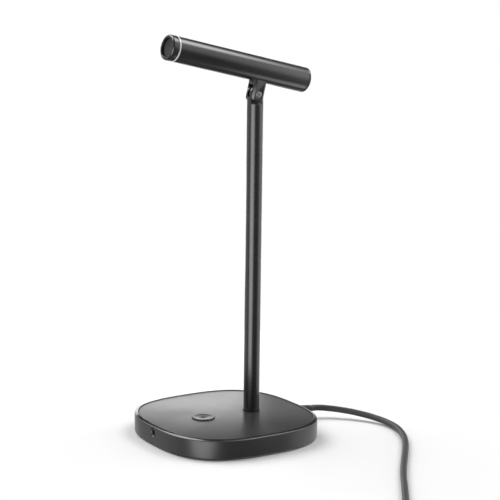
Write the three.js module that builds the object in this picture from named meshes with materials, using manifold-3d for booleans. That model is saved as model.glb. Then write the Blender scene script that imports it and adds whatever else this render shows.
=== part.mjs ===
// A desktop USB microphone: a slim tube microphone that tilts on a fork at the top of a round pole,
// on a weighted, rounded-square base with a mute button and a headphone socket.
// Millimetres, +Z up, the nose of the microphone towards -Y. The origin is the middle of the
// base's resting face.
import * as THREE from "three";
import { mergeVertices } from "three/addons/utils/BufferGeometryUtils.js";
import Module from "manifold-3d";

const wasm = await Module();
wasm.setup();

// ---------------------------------------------------------------- driving dimensions
const BASE_HALF = 55; // half the base's width and depth
const BASE_POWER = 2.8; // exponent of the rounded square |x|^n + |y|^n = r^n
const BASE_STEPS = 64; // sides of a rounded-square outline
const WALL_BOTTOM = 1.2; // the metal stops this far above the desk
const RIM_EDGE = 12.8; // top of the upright side wall
const RIM_TOP = 13.8; // inner edge of the bevelled rim
const RIM_WIDTH = 2.3; // width of the bevel
const WALL = 3; // side wall thickness
const PLATE_BOTTOM = 11.9;
const PLATE_TOP = 13.3;
const PLATE_GAP = 0.3; // groove between the rim and the top plate
const LEDGE_WIDTH = 2.5; // ledge that carries the top plate
const LEDGE_BOTTOM = 10.4;
const PAD_TOP = 1.2;
const PAD_HALF = 45;
const COVER_TOP = 2.6;
const BALLAST_BOTTOM = 2.9;
const BALLAST_TOP = 8.9;

const BUTTON_Y = -17.1;
const BUTTON_R = 7.35;
const BUTTON_HOLE_R = 7.65;
const BUTTON_TOP = 14; // rim of the dished cap
const BUTTON_FOOT = 11; // underside of its retaining flange
const BUTTON_FLANGE_R = 9;
const BUTTON_EDGE = 0.35; // chamfer round the cap
const BUTTON_RIM = 1.3; // width of the rim round the dish
const BUTTON_DISH = 0.4; // depth of the dish

const BOARD_BOTTOM = 5.1;
const BOARD_TOP = 6.7;
const BOARD_HALF_X = 23;
const BOARD_FRONT = -49;
const BOARD_BACK = -9;
const JACK_Z = 9.2; // axis of the headphone socket
const JACK_BORE_R = 1.8; // takes a 3.5 mm plug
const JACK_HALF = 3.1; // half the width of the socket's body
const JACK_FRONT = -51.6;
const JACK_BACK = -39.6;
const JACK_TOP = 11.7;
const JACK_BORE_END = -41;
const JACK_WALL = 2; // housing left in front of the socket's body
const FERRULE_R = 2.6; // ring round the socket's mouth
const FERRULE_FRONT = -54.7;
const FERRULE_BACK = -51.75;

const POLE_Y = 20.1;
const POLE_R = 5.25;
const POLE_BORE_R = 3.65;
const COLLAR_TOP = 14.4; // black ring under the pole
const SHOULDER_Z = 217.5; // top of the round pole, where the tongue starts
const NIPPLE_R = 3.5; // hollow threaded stud that holds the pole
const NIPPLE_HOLE_R = 3.7;
const NIPPLE_BORE_R = 2;
const NIPPLE_BOTTOM = 4.5;
const NIPPLE_TOP = 32;
const POLE_NUT_R = 6;
const POLE_NUT_BOTTOM = 4.6;
const POLE_NUT_TOP = 6.3;
const POLE_WASHER_R = 7.4;
const POLE_WASHER_TOP = 6.95;

const PIVOT_Z = 223.2; // tilt axis, parallel to X
const TILT = THREE.MathUtils.degToRad(13.3); // the nose points up at rest
const TONGUE_HALF = 2.6; // half the thickness of the tongue
const SLOT_HALF = 2.95; // half the width of the fork's slot
const FORK_R = 5.6;
const FORK_FLAT_X = 4.65; // the cheeks' outer faces are milled flat
const FORK_END_R = 5.2; // rounded lower end of the cheeks, about the pivot
const FORK_SLOT_TOP = 5.55;
const LEAD_SLOT_HALF = 1.2; // slot in the tongue that the lead bends in
const PLUG_BOTTOM = 200; // lower end of the knuckle's plug inside the pole
const LEAD_BORE_R = 1.5; // bores that pass the lead through the knuckle and the fork
const SCREW_SHANK_R = 1.25;
const SCREW_HEAD_R = 2.1;
const SCREW_TIP_X = 1.3; // inner end of a hinge screw
const SCREW_SEAT_X = 3.9; // floor of the recess for its head
const SCREW_FACE_X = 5.05;
const FRICTION_WASHER_R = 4.4;

const TUBE_AXIS = 15.96; // height of the tube's axis above the pivot
const TUBE_R = 8.17;
const TUBE_BORE_R = 7.2;
const TUBE_FRONT = -65.7;
const TUBE_BACK = 33.2;
const RING_FRONT = -66.7;
const NOSE_TIP = -71.4;
const NOSE_ROUND = 1.5; // radius of the nose cap's front edge
const NOSE_BORE_R = 6.15;
const GRILLE_FACE = -69.8; // the mesh sits this far along, behind the tip
const TAIL_TIP = 35.2;
const SKIRT_R = TUBE_BORE_R - 0.12; // skirts of the two caps, which slide into the tube
const NOSE_SKIRT_BACK = -60;
const NOSE_STEP_R = 5.6; // step in the nose cap that the mesh rests on
const NOSE_STEP_BACK = -67.6;
const TAIL_SKIRT_FRONT = 28;
const TAIL_HOLLOW_R = 6;
const SEAM = 0.06; // clearance between pieces that meet inside the tilted head
const FOAM_R = 5.4;
const FOAM_BACK = -67.3;
const CAPSULE_R = 4.85;
const CAPSULE_FRONT = -66.9;
const CAPSULE_BACK = -61.9;
const CAPSULE_BOARD_R = 5.6;
const CAPSULE_BOARD_FRONT = -61;

const LEAD_R = 0.7; // shielded lead from the capsule to the board
const CABLE_R = 2.1; // USB cable
const CABLE_Z = 7.2; // height at which it leaves the base
const RELIEF_END = 67; // outer end of the strain relief
const RELIEF_NECK_R = 2.9; // where it passes through the wall
const RELIEF_FLANGE_R = 3.15; // behind the wall
const RELIEF_BODY_R = 3.4; // in front of it
const RELIEF_TIP_R = 2.5;
const CABLE_SIDES = 8;
const COIL_X = 231;
const COIL_Y = 5;
const COIL_INNER_R = 11.3;
const COIL_OUTER_R = 33.7;
const COIL_BOTTOM = 0.9;
const COIL_TOP = 9.3;

const ROUND = 36; // sides of the larger round pieces
const SMALL = 16; // sides of the smaller ones
const MERGE_MM = 1e-4;

// ---------------------------------------------------------------- finishes
const finishes = {
  anodised: { color: 0x34353a, roughness: 0.38, metalness: 0.9 },
  painted: { color: 0x2c2d30, roughness: 0.5, metalness: 0.6 },
  blackPlastic: { color: 0x101113, roughness: 0.55, metalness: 0 },
  polished: { color: 0xd8d8da, roughness: 0.12, metalness: 1 },
  steel: { color: 0xb8b9bb, roughness: 0.35, metalness: 1 },
  brass: { color: 0xc2a15a, roughness: 0.35, metalness: 1 },
  rubber: { color: 0x17181a, roughness: 0.9, metalness: 0 },
  foam: { color: 0x1c1c1e, roughness: 1, metalness: 0 },
  board: { color: 0x174a2c, roughness: 0.6, metalness: 0 },
  chip: { color: 0x121214, roughness: 0.6, metalness: 0 },
  connector: { color: 0xe6e2d6, roughness: 0.5, metalness: 0 },
  cable: { color: 0x25262a, roughness: 0.65, metalness: 0 },
};

// ---------------------------------------------------------------- solids
function solidOf(geometry) {
  const bare = geometry.index ? geometry.toNonIndexed() : geometry.clone();
  for (const name of Object.keys(bare.attributes)) {
    if (name !== "position") bare.deleteAttribute(name);
  }
  const merged = mergeVertices(bare, MERGE_MM);
  const triVerts = new Uint32Array(merged.index.array);
  const mesh = () =>
    new wasm.Mesh({ numProp: 3, vertProperties: merged.attributes.position.array, triVerts });
  const made = new wasm.Manifold(mesh());
  if (made.volume() > 0) return made;
  // A profile drawn the other way round gives inward faces, so each triangle is turned.
  for (let i = 0; i < triVerts.length; i += 3) {
    [triVerts[i + 1], triVerts[i + 2]] = [triVerts[i + 2], triVerts[i + 1]];
  }
  return new wasm.Manifold(mesh());
}

function geometryOf(solid) {
  const { vertProperties, triVerts } = solid.getMesh();
  const geometry = new THREE.BufferGeometry();
  geometry.setAttribute("position", new THREE.BufferAttribute(vertProperties, 3));
  geometry.setIndex(new THREE.BufferAttribute(triVerts, 1));
  geometry.computeVertexNormals();
  return geometry;
}

function piece(name, solid, finish) {
  const mesh = new THREE.Mesh(geometryOf(solid), new THREE.MeshStandardMaterial(finishes[finish]));
  mesh.name = name;
  return mesh;
}

const join = (first, ...others) => others.reduce((sum, other) => sum.add(other), first);
const cut = (first, ...others) => others.reduce((rest, other) => rest.subtract(other), first);

function roundedSquare(half) {
  const shape = new THREE.Shape();
  for (let i = 0; i < BASE_STEPS; i++) {
    const angle = (2 * Math.PI * i) / BASE_STEPS;
    const c = Math.cos(angle);
    const s = Math.sin(angle);
    const x = half * Math.sign(c) * Math.abs(c) ** (2 / BASE_POWER);
    const y = half * Math.sign(s) * Math.abs(s) ** (2 / BASE_POWER);
    if (i === 0) shape.moveTo(x, y);
    else shape.lineTo(x, y);
  }
  shape.closePath();
  return shape;
}

function slab(shape, bottom, top) {
  const geometry = new THREE.ExtrudeGeometry(shape, { depth: top - bottom, bevelEnabled: false });
  return solidOf(geometry.translate(0, 0, bottom));
}

const squareSlab = (half, bottom, top) => slab(roundedSquare(half), bottom, top);

function block(x0, x1, y0, y1, z0, z1) {
  const geometry = new THREE.BoxGeometry(x1 - x0, y1 - y0, z1 - z0);
  return solidOf(geometry.translate((x0 + x1) / 2, (y0 + y1) / 2, (z0 + z1) / 2));
}

// An upright round bar; sides of 6 makes a hexagon.
function upright(radius, x, y, bottom, top, sides = SMALL) {
  const geometry = new THREE.CylinderGeometry(radius, radius, top - bottom, sides);
  return solidOf(geometry.rotateX(Math.PI / 2).translate(x, y, (bottom + top) / 2));
}

function alongX(radius, y, z, from, to, sides = SMALL) {
  const geometry = new THREE.CylinderGeometry(radius, radius, to - from, sides);
  return solidOf(geometry.rotateZ(Math.PI / 2).translate((from + to) / 2, y, z));
}

function alongY(radius, x, z, from, to, sides = SMALL) {
  const geometry = new THREE.CylinderGeometry(radius, radius, to - from, sides);
  return solidOf(geometry.translate(x, (from + to) / 2, z));
}

// Turns a closed list of [radius, height] points about the Z axis.
function turned(points, sides = ROUND) {
  const outline = points.map(([radius, height]) => new THREE.Vector2(radius, height));
  return new THREE.LatheGeometry(outline, sides).rotateX(Math.PI / 2);
}

// The same, with the height of each point measured along +Y at height TUBE_AXIS.
function turnedOnTube(points, sides = ROUND) {
  const geometry = turned(points, sides).rotateX(-Math.PI / 2);
  return solidOf(geometry.translate(0, 0, TUBE_AXIS));
}

// Points of a quarter circle, both ends included.
function quarter(centreR, centreY, radius, fromAngle, steps) {
  return Array.from({ length: steps + 1 }, (_, i) => {
    const angle = fromAngle + ((Math.PI / 2) * i) / steps;
    return [centreR + radius * Math.cos(angle), centreY + radius * Math.sin(angle)];
  });
}

function tubeAlong(points, radius, steps, sides = CABLE_SIDES) {
  const path = new THREE.CatmullRomCurve3(points, false, "centripetal");
  const section = new THREE.Shape();
  for (let i = 0; i < sides; i++) {
    const angle = (2 * Math.PI * i) / sides;
    const x = radius * Math.cos(angle);
    const y = radius * Math.sin(angle);
    if (i === 0) section.moveTo(x, y);
    else section.lineTo(x, y);
  }
  section.closePath();
  return solidOf(new THREE.ExtrudeGeometry(section, { steps, extrudePath: path }));
}

// ---------------------------------------------------------------- base
const BOSS_AT = 38; // the four screw bosses stand at (+-38, +-38)
const BOSS_R = 4;
const PILOT_R = 1.2;
const corners = [
  [BOSS_AT, BOSS_AT],
  [-BOSS_AT, BOSS_AT],
  [-BOSS_AT, -BOSS_AT],
  [BOSS_AT, -BOSS_AT],
];

// The wall and bevel are one solid: an upright block topped by a slice that narrows to the rim.
function baseHousing() {
  const rimHalf = BASE_HALF - RIM_WIDTH;
  const bevel = new THREE.ExtrudeGeometry(roundedSquare(BASE_HALF), {
    depth: RIM_TOP - RIM_EDGE,
    bevelEnabled: false,
  });
  const position = bevel.attributes.position;
  for (let i = 0; i < position.count; i++) {
    if (position.getZ(i) > 0) {
      const shrink = rimHalf / BASE_HALF;
      position.setX(i, position.getX(i) * shrink);
      position.setY(i, position.getY(i) * shrink);
    }
  }
  const outer = join(
    squareSlab(BASE_HALF, WALL_BOTTOM, RIM_EDGE),
    solidOf(bevel.translate(0, 0, RIM_EDGE)),
  );
  const inside = BASE_HALF - WALL;
  const shell = cut(
    outer,
    squareSlab(inside, 0, LEDGE_BOTTOM),
    squareSlab(inside - LEDGE_WIDTH, LEDGE_BOTTOM - 1, PLATE_BOTTOM + 1),
    squareSlab(rimHalf, PLATE_BOTTOM, RIM_TOP + 1),
  );
  const bosses = corners.map(([x, y]) => upright(BOSS_R, x, y, COVER_TOP + 0.1, LEDGE_BOTTOM + 0.5));
  const pilots = corners.map(([x, y]) => upright(PILOT_R, x, y, 0, LEDGE_BOTTOM - 1));
  const notchHalf = JACK_HALF + 0.5;
  const behindWall = BASE_HALF - WALL - 2;
  const notchBack = -44;
  const jackNotch = block(-notchHalf, notchHalf, JACK_WALL - BASE_HALF, notchBack, BOARD_TOP, PLATE_BOTTOM);
  const jackHole = alongY(FERRULE_R + 0.1, 0, JACK_Z, -BASE_HALF - 1, -behindWall);
  const cableHole = alongY(RELIEF_NECK_R + 0.15, 0, CABLE_Z, behindWall, BASE_HALF + 1);
  return cut(join(shell, ...bosses), ...pilots, jackNotch, jackHole, cableHole);
}

const PLATE_BOSS_R = 8; // boss under the plate that the pole's stud passes through
function topPlate() {
  const plate = squareSlab(BASE_HALF - RIM_WIDTH - PLATE_GAP, PLATE_BOTTOM, PLATE_TOP);
  const boss = upright(PLATE_BOSS_R, 0, POLE_Y, BALLAST_TOP, PLATE_BOTTOM + 0.5);
  return cut(
    join(plate, boss),
    upright(NIPPLE_HOLE_R, 0, POLE_Y, BALLAST_TOP - 1, PLATE_TOP + 1),
    upright(BUTTON_HOLE_R, 0, BUTTON_Y, PLATE_BOTTOM - 1, PLATE_TOP + 1, ROUND),
  );
}

const POST_AT = [
  [19.5, -29],
  [-19.5, -29],
];
const POST_R = 2.4;
const POST_PILOT_R = 0.9;
const COVER_HOLE_R = 3;
const COVER_SCREW_HEAD_R = 2.8;
const COVER_SCREW_R = 1.1;
const COVER_SCREW_TOP = 9;

// The cover's two posts carry the board; its four holes are countersunk for the screws.
function bottomCover() {
  const plate = squareSlab(BASE_HALF - WALL - 0.3, PAD_TOP, COVER_TOP);
  const posts = POST_AT.map(([x, y]) => upright(POST_R, x, y, COVER_TOP - 0.5, BOARD_BOTTOM));
  const holes = corners.map(([x, y]) => upright(COVER_HOLE_R, x, y, 0, COVER_TOP + 1));
  const pilots = POST_AT.map(([x, y]) => upright(POST_PILOT_R, x, y, COVER_TOP, BOARD_BOTTOM + 1, 12));
  return cut(join(plate, ...posts), ...holes, ...pilots);
}

const footPad = () => squareSlab(PAD_HALF, 0, PAD_TOP);

function coverScrew([x, y]) {
  const head = upright(COVER_SCREW_HEAD_R, x, y, PAD_TOP + 0.1, COVER_TOP - 0.1);
  return join(head, upright(COVER_SCREW_R, x, y, COVER_TOP - 0.5, COVER_SCREW_TOP));
}

// Steel weight in the back half, with room below for the pole's nut and the lead, and a channel
// on top for the cable.
const CHANNEL_X = 15;
const CHANNEL_HALF = 3.6;
const CHANNEL_BOTTOM = 4.8;
const NUT_ROOM_R = 8.2;
const NUT_ROOM_TOP = 7;
const LEAD_ROOM_HALF = 2.4;
const LEAD_ROOM_TOP = 5;
function ballastPlate() {
  const front = -5;
  const back = 42;
  const outline = squareSlab(BASE_HALF - WALL - 1.5, BALLAST_BOTTOM, BALLAST_TOP);
  const half = block(-BASE_HALF, BASE_HALF, front, back, 0, RIM_TOP);
  const notches = corners.map(([x, y]) => upright(BOSS_R + 1, x, y, 0, RIM_TOP));
  return cut(
    outline.intersect(half),
    ...notches,
    upright(NIPPLE_HOLE_R, 0, POLE_Y, 0, RIM_TOP),
    upright(NUT_ROOM_R, 0, POLE_Y, 0, NUT_ROOM_TOP),
    block(-LEAD_ROOM_HALF, LEAD_ROOM_HALF, front - 1, POLE_Y, 0, LEAD_ROOM_TOP),
    block(CHANNEL_X - CHANNEL_HALF, CHANNEL_X + CHANNEL_HALF, front - 1, back + 1, CHANNEL_BOTTOM, RIM_TOP),
  );
}

// ---------------------------------------------------------------- electronics in the base
const BOARD_HOLE_R = 1.2;
const BOARD_SCREW_HEAD_R = 2;
const BOARD_SCREW_HEAD = 1.2; // height of its head
const BOARD_SCREW_R = 0.8;
const BOARD_SCREW_BOTTOM = 3;
function mainBoard() {
  const board = block(-BOARD_HALF_X, BOARD_HALF_X, BOARD_FRONT, BOARD_BACK, BOARD_BOTTOM, BOARD_TOP);
  const holes = POST_AT.map(([x, y]) => upright(BOARD_HOLE_R, x, y, 0, RIM_TOP, 12));
  return cut(board, ...holes);
}

function boardScrew([x, y]) {
  const head = upright(BOARD_SCREW_HEAD_R, x, y, BOARD_TOP + 0.02, BOARD_TOP + BOARD_SCREW_HEAD);
  return join(head, upright(BOARD_SCREW_R, x, y, BOARD_SCREW_BOTTOM, BOARD_TOP + 0.5, 12));
}

const audioChip = () => block(-13.5, -6.5, -37.5, -30.5, BOARD_TOP, BOARD_TOP + 0.9);
const crystal = () => block(8, 13, -36, -32.8, BOARD_TOP, BOARD_TOP + 1.2);
const capacitor = (x) => upright(2, x, -24, BOARD_TOP, BOARD_TOP + 3.6);

const BORE_SIDES = 24;
function headphoneJack() {
  const body = block(-JACK_HALF, JACK_HALF, JACK_FRONT, JACK_BACK, BOARD_TOP, JACK_TOP);
  return cut(body, alongY(JACK_BORE_R, 0, JACK_Z, JACK_FRONT - 1, JACK_BORE_END, BORE_SIDES));
}

function jackFerrule() {
  const ring = alongY(FERRULE_R, 0, JACK_Z, FERRULE_FRONT, FERRULE_BACK, BORE_SIDES);
  return cut(ring, alongY(JACK_BORE_R + 0.05, 0, JACK_Z, FERRULE_FRONT - 1, FERRULE_BACK + 1, BORE_SIDES));
}

const SWITCH_TOP = 10.2;
const SWITCH_HALF = 3.1;
const SWITCH_SOCKET_BOTTOM = 8.4;
const SWITCH_STEM_R = 1.75;
const SWITCH_STEM_BOTTOM = 9.2;
function switchBody() {
  const front = BUTTON_Y - SWITCH_HALF;
  const back = BUTTON_Y + SWITCH_HALF;
  const body = block(-SWITCH_HALF, SWITCH_HALF, front, back, BOARD_TOP, SWITCH_TOP);
  return cut(body, upright(SWITCH_STEM_R + 0.15, 0, BUTTON_Y, SWITCH_SOCKET_BOTTOM, SWITCH_TOP + 1));
}

const switchStem = () => upright(SWITCH_STEM_R, 0, BUTTON_Y, SWITCH_STEM_BOTTOM, BUTTON_FOOT);

// A dished cap: its rim stands proud of the plate, and a wider flange keeps it from lifting out.
function muteButton() {
  const profile = [
    [0, BUTTON_FOOT],
    [BUTTON_FLANGE_R, BUTTON_FOOT],
    [BUTTON_FLANGE_R, PLATE_BOTTOM - 0.1],
    [BUTTON_R, PLATE_BOTTOM - 0.1],
    [BUTTON_R, BUTTON_TOP - BUTTON_EDGE],
    [BUTTON_R - BUTTON_EDGE, BUTTON_TOP],
    [BUTTON_R - BUTTON_RIM, BUTTON_TOP - 0.1],
    [BUTTON_R / 2, BUTTON_TOP - BUTTON_DISH * 0.75],
    [0, BUTTON_TOP - BUTTON_DISH],
  ];
  return solidOf(turned(profile)).translate([0, BUTTON_Y, 0]);
}

const micConnector = () => block(-10.5, -5.5, -17, -12.5, BOARD_TOP, BOARD_TOP + 3.5);
const usbConnector = () => block(11, 19, -19, -13.5, BOARD_TOP, BOARD_TOP + 4);

// ---------------------------------------------------------------- pole
function poleNipple() {
  const bar = upright(NIPPLE_R, 0, POLE_Y, NIPPLE_BOTTOM, NIPPLE_TOP);
  return cut(bar, upright(NIPPLE_BORE_R, 0, POLE_Y, 0, NIPPLE_TOP + 1));
}

function poleNut() {
  const hexagon = upright(POLE_NUT_R, 0, POLE_Y, POLE_NUT_BOTTOM, POLE_NUT_TOP, 6);
  return cut(hexagon, upright(NIPPLE_R + 0.1, 0, POLE_Y, 0, RIM_TOP));
}

function poleWasher() {
  const disc = upright(POLE_WASHER_R, 0, POLE_Y, POLE_NUT_TOP + 0.1, POLE_WASHER_TOP);
  return cut(disc, upright(NIPPLE_HOLE_R, 0, POLE_Y, 0, RIM_TOP));
}

function poleCollar() {
  const ring = upright(POLE_R + 0.3, 0, POLE_Y, PLATE_TOP, COLLAR_TOP, ROUND);
  return cut(ring, upright(NIPPLE_HOLE_R, 0, POLE_Y, 0, COLLAR_TOP + 1));
}

function poleTube() {
  const bar = upright(POLE_R, 0, POLE_Y, COLLAR_TOP, SHOULDER_Z, ROUND);
  return cut(bar, upright(POLE_BORE_R, 0, POLE_Y, 0, SHOULDER_Z + 1));
}

// A plug inside the pole carries the tongue, which is as deep as the pole and rounded about the
// pivot. The lead comes up its bore and bends in the slot between its two ears.
function hingeKnuckle() {
  const plug = upright(POLE_BORE_R - 0.1, 0, POLE_Y, PLUG_BOTTOM, SHOULDER_Z + 0.5);
  const bar = upright(POLE_R, 0, POLE_Y, SHOULDER_Z, PIVOT_Z + POLE_R, ROUND);
  const flats = block(-TONGUE_HALF, TONGUE_HALF, 0, 40, SHOULDER_Z, PIVOT_Z + POLE_R);
  const end = join(
    alongX(POLE_R, POLE_Y, PIVOT_Z, -POLE_R, POLE_R, ROUND),
    block(-POLE_R, POLE_R, 0, 40, 0, PIVOT_Z),
  );
  const tongue = bar.intersect(flats).intersect(end);
  return cut(
    join(plug.intersect(block(-POLE_R, POLE_R, 0, 40, 0, SHOULDER_Z)), tongue),
    upright(LEAD_BORE_R, 0, POLE_Y, PLUG_BOTTOM - 1, PIVOT_Z),
    block(-LEAD_SLOT_HALF, LEAD_SLOT_HALF, 0, 40, PIVOT_Z - 1.6, PIVOT_Z + 10),
    alongX(SCREW_SHANK_R + 0.08, POLE_Y, PIVOT_Z, -POLE_R, POLE_R),
  );
}

// side is 1 for the +X screw and -1 for the -X one.
function hingeScrew(side) {
  const span = (from, to) => (side > 0 ? [from, to] : [-to, -from]);
  const head = alongX(SCREW_HEAD_R, POLE_Y, PIVOT_Z, ...span(SCREW_SEAT_X + 0.05, SCREW_FACE_X));
  return join(head, alongX(SCREW_SHANK_R, POLE_Y, PIVOT_Z, ...span(SCREW_TIP_X, SCREW_SEAT_X + 0.5)));
}

function frictionWasher(side) {
  const from = side > 0 ? TONGUE_HALF + 0.03 : -SLOT_HALF + 0.05;
  const to = side > 0 ? SLOT_HALF - 0.05 : -TONGUE_HALF - 0.03;
  const disc = alongX(FRICTION_WASHER_R, POLE_Y, PIVOT_Z, from, to, ROUND);
  return cut(disc, alongX(SCREW_SHANK_R + 0.1, POLE_Y, PIVOT_Z, -POLE_R, POLE_R));
}

// ---------------------------------------------------------------- tilting head
// Drawn level with its origin on the pivot, then turned by TILT with its group.
const STEM_R = 2.9;
const STEM_TOP = 12.9;
const NUT_BOTTOM = 10.4;
const NUT_HEIGHT = 2;
const FORK_NUT_R = 4.2;
const SADDLE_R = 4.4;

function hingeFork() {
  const reach = 2 * FORK_R; // cuts run this far, well past the fork
  const bar = upright(FORK_R, 0, 0, -FORK_R, TUBE_AXIS, ROUND);
  const end = join(
    alongX(FORK_END_R, 0, 0, -FORK_R, FORK_R, ROUND),
    block(-FORK_R, FORK_R, -FORK_R, FORK_R, 0, TUBE_AXIS),
  );
  const flats = block(-FORK_FLAT_X, FORK_FLAT_X, -FORK_R, FORK_R, -FORK_R, TUBE_AXIS);
  const body = cut(
    bar.intersect(end).intersect(flats),
    block(-SLOT_HALF, SLOT_HALF, -reach, reach, -reach, FORK_SLOT_TOP),
    alongY(TUBE_R + 0.25, 0, TUBE_AXIS, -reach, reach, ROUND),
    alongX(SCREW_HEAD_R + 0.25, 0, 0, SCREW_SEAT_X, reach),
    alongX(SCREW_HEAD_R + 0.25, 0, 0, -reach, -SCREW_SEAT_X),
    alongX(SCREW_SHANK_R + 0.12, 0, 0, -reach, reach),
  );
  const stem = upright(STEM_R, 0, 0, FORK_SLOT_TOP + 0.5, STEM_TOP);
  return cut(join(body, stem), upright(LEAD_BORE_R, 0, 0, 0, TUBE_AXIS));
}

function micTube() {
  const bar = alongY(TUBE_R, 0, TUBE_AXIS, TUBE_FRONT, TUBE_BACK, ROUND);
  return cut(
    bar,
    alongY(TUBE_BORE_R, 0, TUBE_AXIS, TUBE_FRONT - 1, TUBE_BACK + 1, ROUND),
    upright(STEM_R + 0.2, 0, 0, 0, TUBE_AXIS),
  );
}

// A curved washer lies in the tube's bore and gives the fork's nut a flat seat.
function saddleWasher() {
  const bar = upright(SADDLE_R, 0, 0, 0, NUT_BOTTOM - 0.15);
  const bore = alongY(TUBE_BORE_R - 0.25, 0, TUBE_AXIS, -2 * SADDLE_R, 2 * SADDLE_R, ROUND);
  return cut(bar.intersect(bore), upright(STEM_R + 0.2, 0, 0, 0, TUBE_AXIS));
}

function forkNut() {
  const hexagon = upright(FORK_NUT_R, 0, 0, NUT_BOTTOM, NUT_BOTTOM + NUT_HEIGHT, 6);
  return cut(hexagon, upright(STEM_R + 0.15, 0, 0, 0, TUBE_AXIS));
}

function accentRing() {
  const inner = TUBE_BORE_R - 0.02;
  const outer = TUBE_R + 0.1;
  return turnedOnTube([
    [inner, RING_FRONT + SEAM],
    [outer, RING_FRONT + SEAM],
    [outer, TUBE_FRONT - SEAM],
    [inner, TUBE_FRONT - SEAM],
    [inner, RING_FRONT + SEAM],
  ]);
}

// The cap's skirt slides into the ring and tube; the mesh rests on a step inside its mouth.
function noseCap() {
  const stepFront = GRILLE_FACE + 0.6;
  const mouthEdge = 0.25; // chamfer on the inner edge of the mouth
  const outerArc = quarter(TUBE_R - NOSE_ROUND, NOSE_TIP + NOSE_ROUND, NOSE_ROUND, -Math.PI / 2, 5);
  return turnedOnTube([
    [NOSE_BORE_R, NOSE_TIP + mouthEdge],
    [NOSE_BORE_R + 0.1, NOSE_TIP],
    ...outerArc.filter(([radius]) => radius > NOSE_BORE_R + 0.1),
    [TUBE_R, RING_FRONT],
    [SKIRT_R, RING_FRONT],
    [SKIRT_R, NOSE_SKIRT_BACK],
    [NOSE_BORE_R, NOSE_SKIRT_BACK],
    [NOSE_BORE_R, NOSE_STEP_BACK],
    [NOSE_STEP_R, NOSE_STEP_BACK],
    [NOSE_STEP_R, stepFront],
    [NOSE_BORE_R, stepFront],
    [NOSE_BORE_R, NOSE_TIP + mouthEdge],
  ]);
}

const disc = (radius, from, to, sides = ROUND) => alongY(radius, 0, TUBE_AXIS, from, to, sides);

const grilleMesh = () => disc(NOSE_BORE_R - 0.1, GRILLE_FACE, GRILLE_FACE + 0.5);
const windFoam = () => disc(FOAM_R, GRILLE_FACE + 0.6, FOAM_BACK, SMALL);
const capsule = () => disc(CAPSULE_R, CAPSULE_FRONT, CAPSULE_BACK);
const capsuleBoard = () => disc(CAPSULE_BOARD_R, CAPSULE_BOARD_FRONT, CAPSULE_BOARD_FRONT + 1);

// A rubber cup that holds the capsule, with a hole behind it for the capsule's pins.
function capsuleBoot() {
  const front = CAPSULE_FRONT - 0.1;
  const pinHoleR = 3;
  return cut(
    disc(NOSE_BORE_R - 0.15, front, CAPSULE_BOARD_FRONT - 0.2),
    disc(CAPSULE_R + 0.1, front - 1, CAPSULE_BACK + 0.2),
    disc(pinHoleR, front - 1, CAPSULE_BOARD_FRONT, SMALL),
  );
}

function rearCap() {
  const round = 1;
  const arc = quarter(TUBE_R - round, TAIL_TIP - round, round, 0, 4);
  return turnedOnTube([
    [0, TUBE_BACK],
    [TAIL_HOLLOW_R, TUBE_BACK],
    [TAIL_HOLLOW_R, TAIL_SKIRT_FRONT],
    [SKIRT_R, TAIL_SKIRT_FRONT],
    [SKIRT_R, TUBE_BACK + SEAM],
    [TUBE_R, TUBE_BACK + SEAM],
    ...arc,
    [0, TAIL_TIP],
  ]);
}

// ---------------------------------------------------------------- leads inside
function headPoint(x, y, z) {
  const point = new THREE.Vector3(x, y, z);
  point.applyAxisAngle(new THREE.Vector3(1, 0, 0), -TILT);
  return point.add(new THREE.Vector3(0, POLE_Y, PIVOT_Z));
}

// From the board, under the weight, up the pole, through the hinge and along to the capsule.
function micLead() {
  const level = 3.45;
  const route = [
    new THREE.Vector3(-8, -12.2, 8.6),
    new THREE.Vector3(-8, -9.4, 8.4),
    new THREE.Vector3(-6.6, -7, 6.2),
    new THREE.Vector3(-3.6, -6.9, level + 0.3),
    new THREE.Vector3(-0.8, -5.9, level),
    new THREE.Vector3(0, -3, level),
    new THREE.Vector3(0, 6, level),
    new THREE.Vector3(0, 16.6, level),
    new THREE.Vector3(0, 19.2, 4),
    new THREE.Vector3(0, POLE_Y, 6.4),
    ...[20, 60, 110, 160, 205, PIVOT_Z - 4].map((z) => new THREE.Vector3(0, POLE_Y, z)),
    new THREE.Vector3(0, POLE_Y, PIVOT_Z),
    headPoint(0, 0, 4),
    headPoint(0, 0, 8),
    headPoint(0, -0.3, 12.6),
    headPoint(0, -2.6, 15.2),
    headPoint(0, -8, TUBE_AXIS),
    headPoint(0, -25, TUBE_AXIS),
    headPoint(0, -45, TUBE_AXIS),
    headPoint(0, -59.7, TUBE_AXIS),
  ];
  return tubeAlong(route, LEAD_R, 80, 6);
}

// The cable's inner end turns aside behind the weight and runs forward in its channel.
function innerCable() {
  const route = [
    [0, 50.6, CABLE_Z],
    [1.2, 48.3, CABLE_Z],
    [5, 46.3, CABLE_Z],
    [10.2, 45.5, CABLE_Z],
    [14.1, 42.7, CABLE_Z],
    [CHANNEL_X, 37, CABLE_Z],
    [CHANNEL_X, 20, CABLE_Z],
    [CHANNEL_X, 3, CABLE_Z],
    [CHANNEL_X, -6, 8.9],
    [CHANNEL_X, -13.2, 9.2],
  ].map((p) => new THREE.Vector3(...p));
  return tubeAlong(route, CABLE_R, 26);
}

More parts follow.
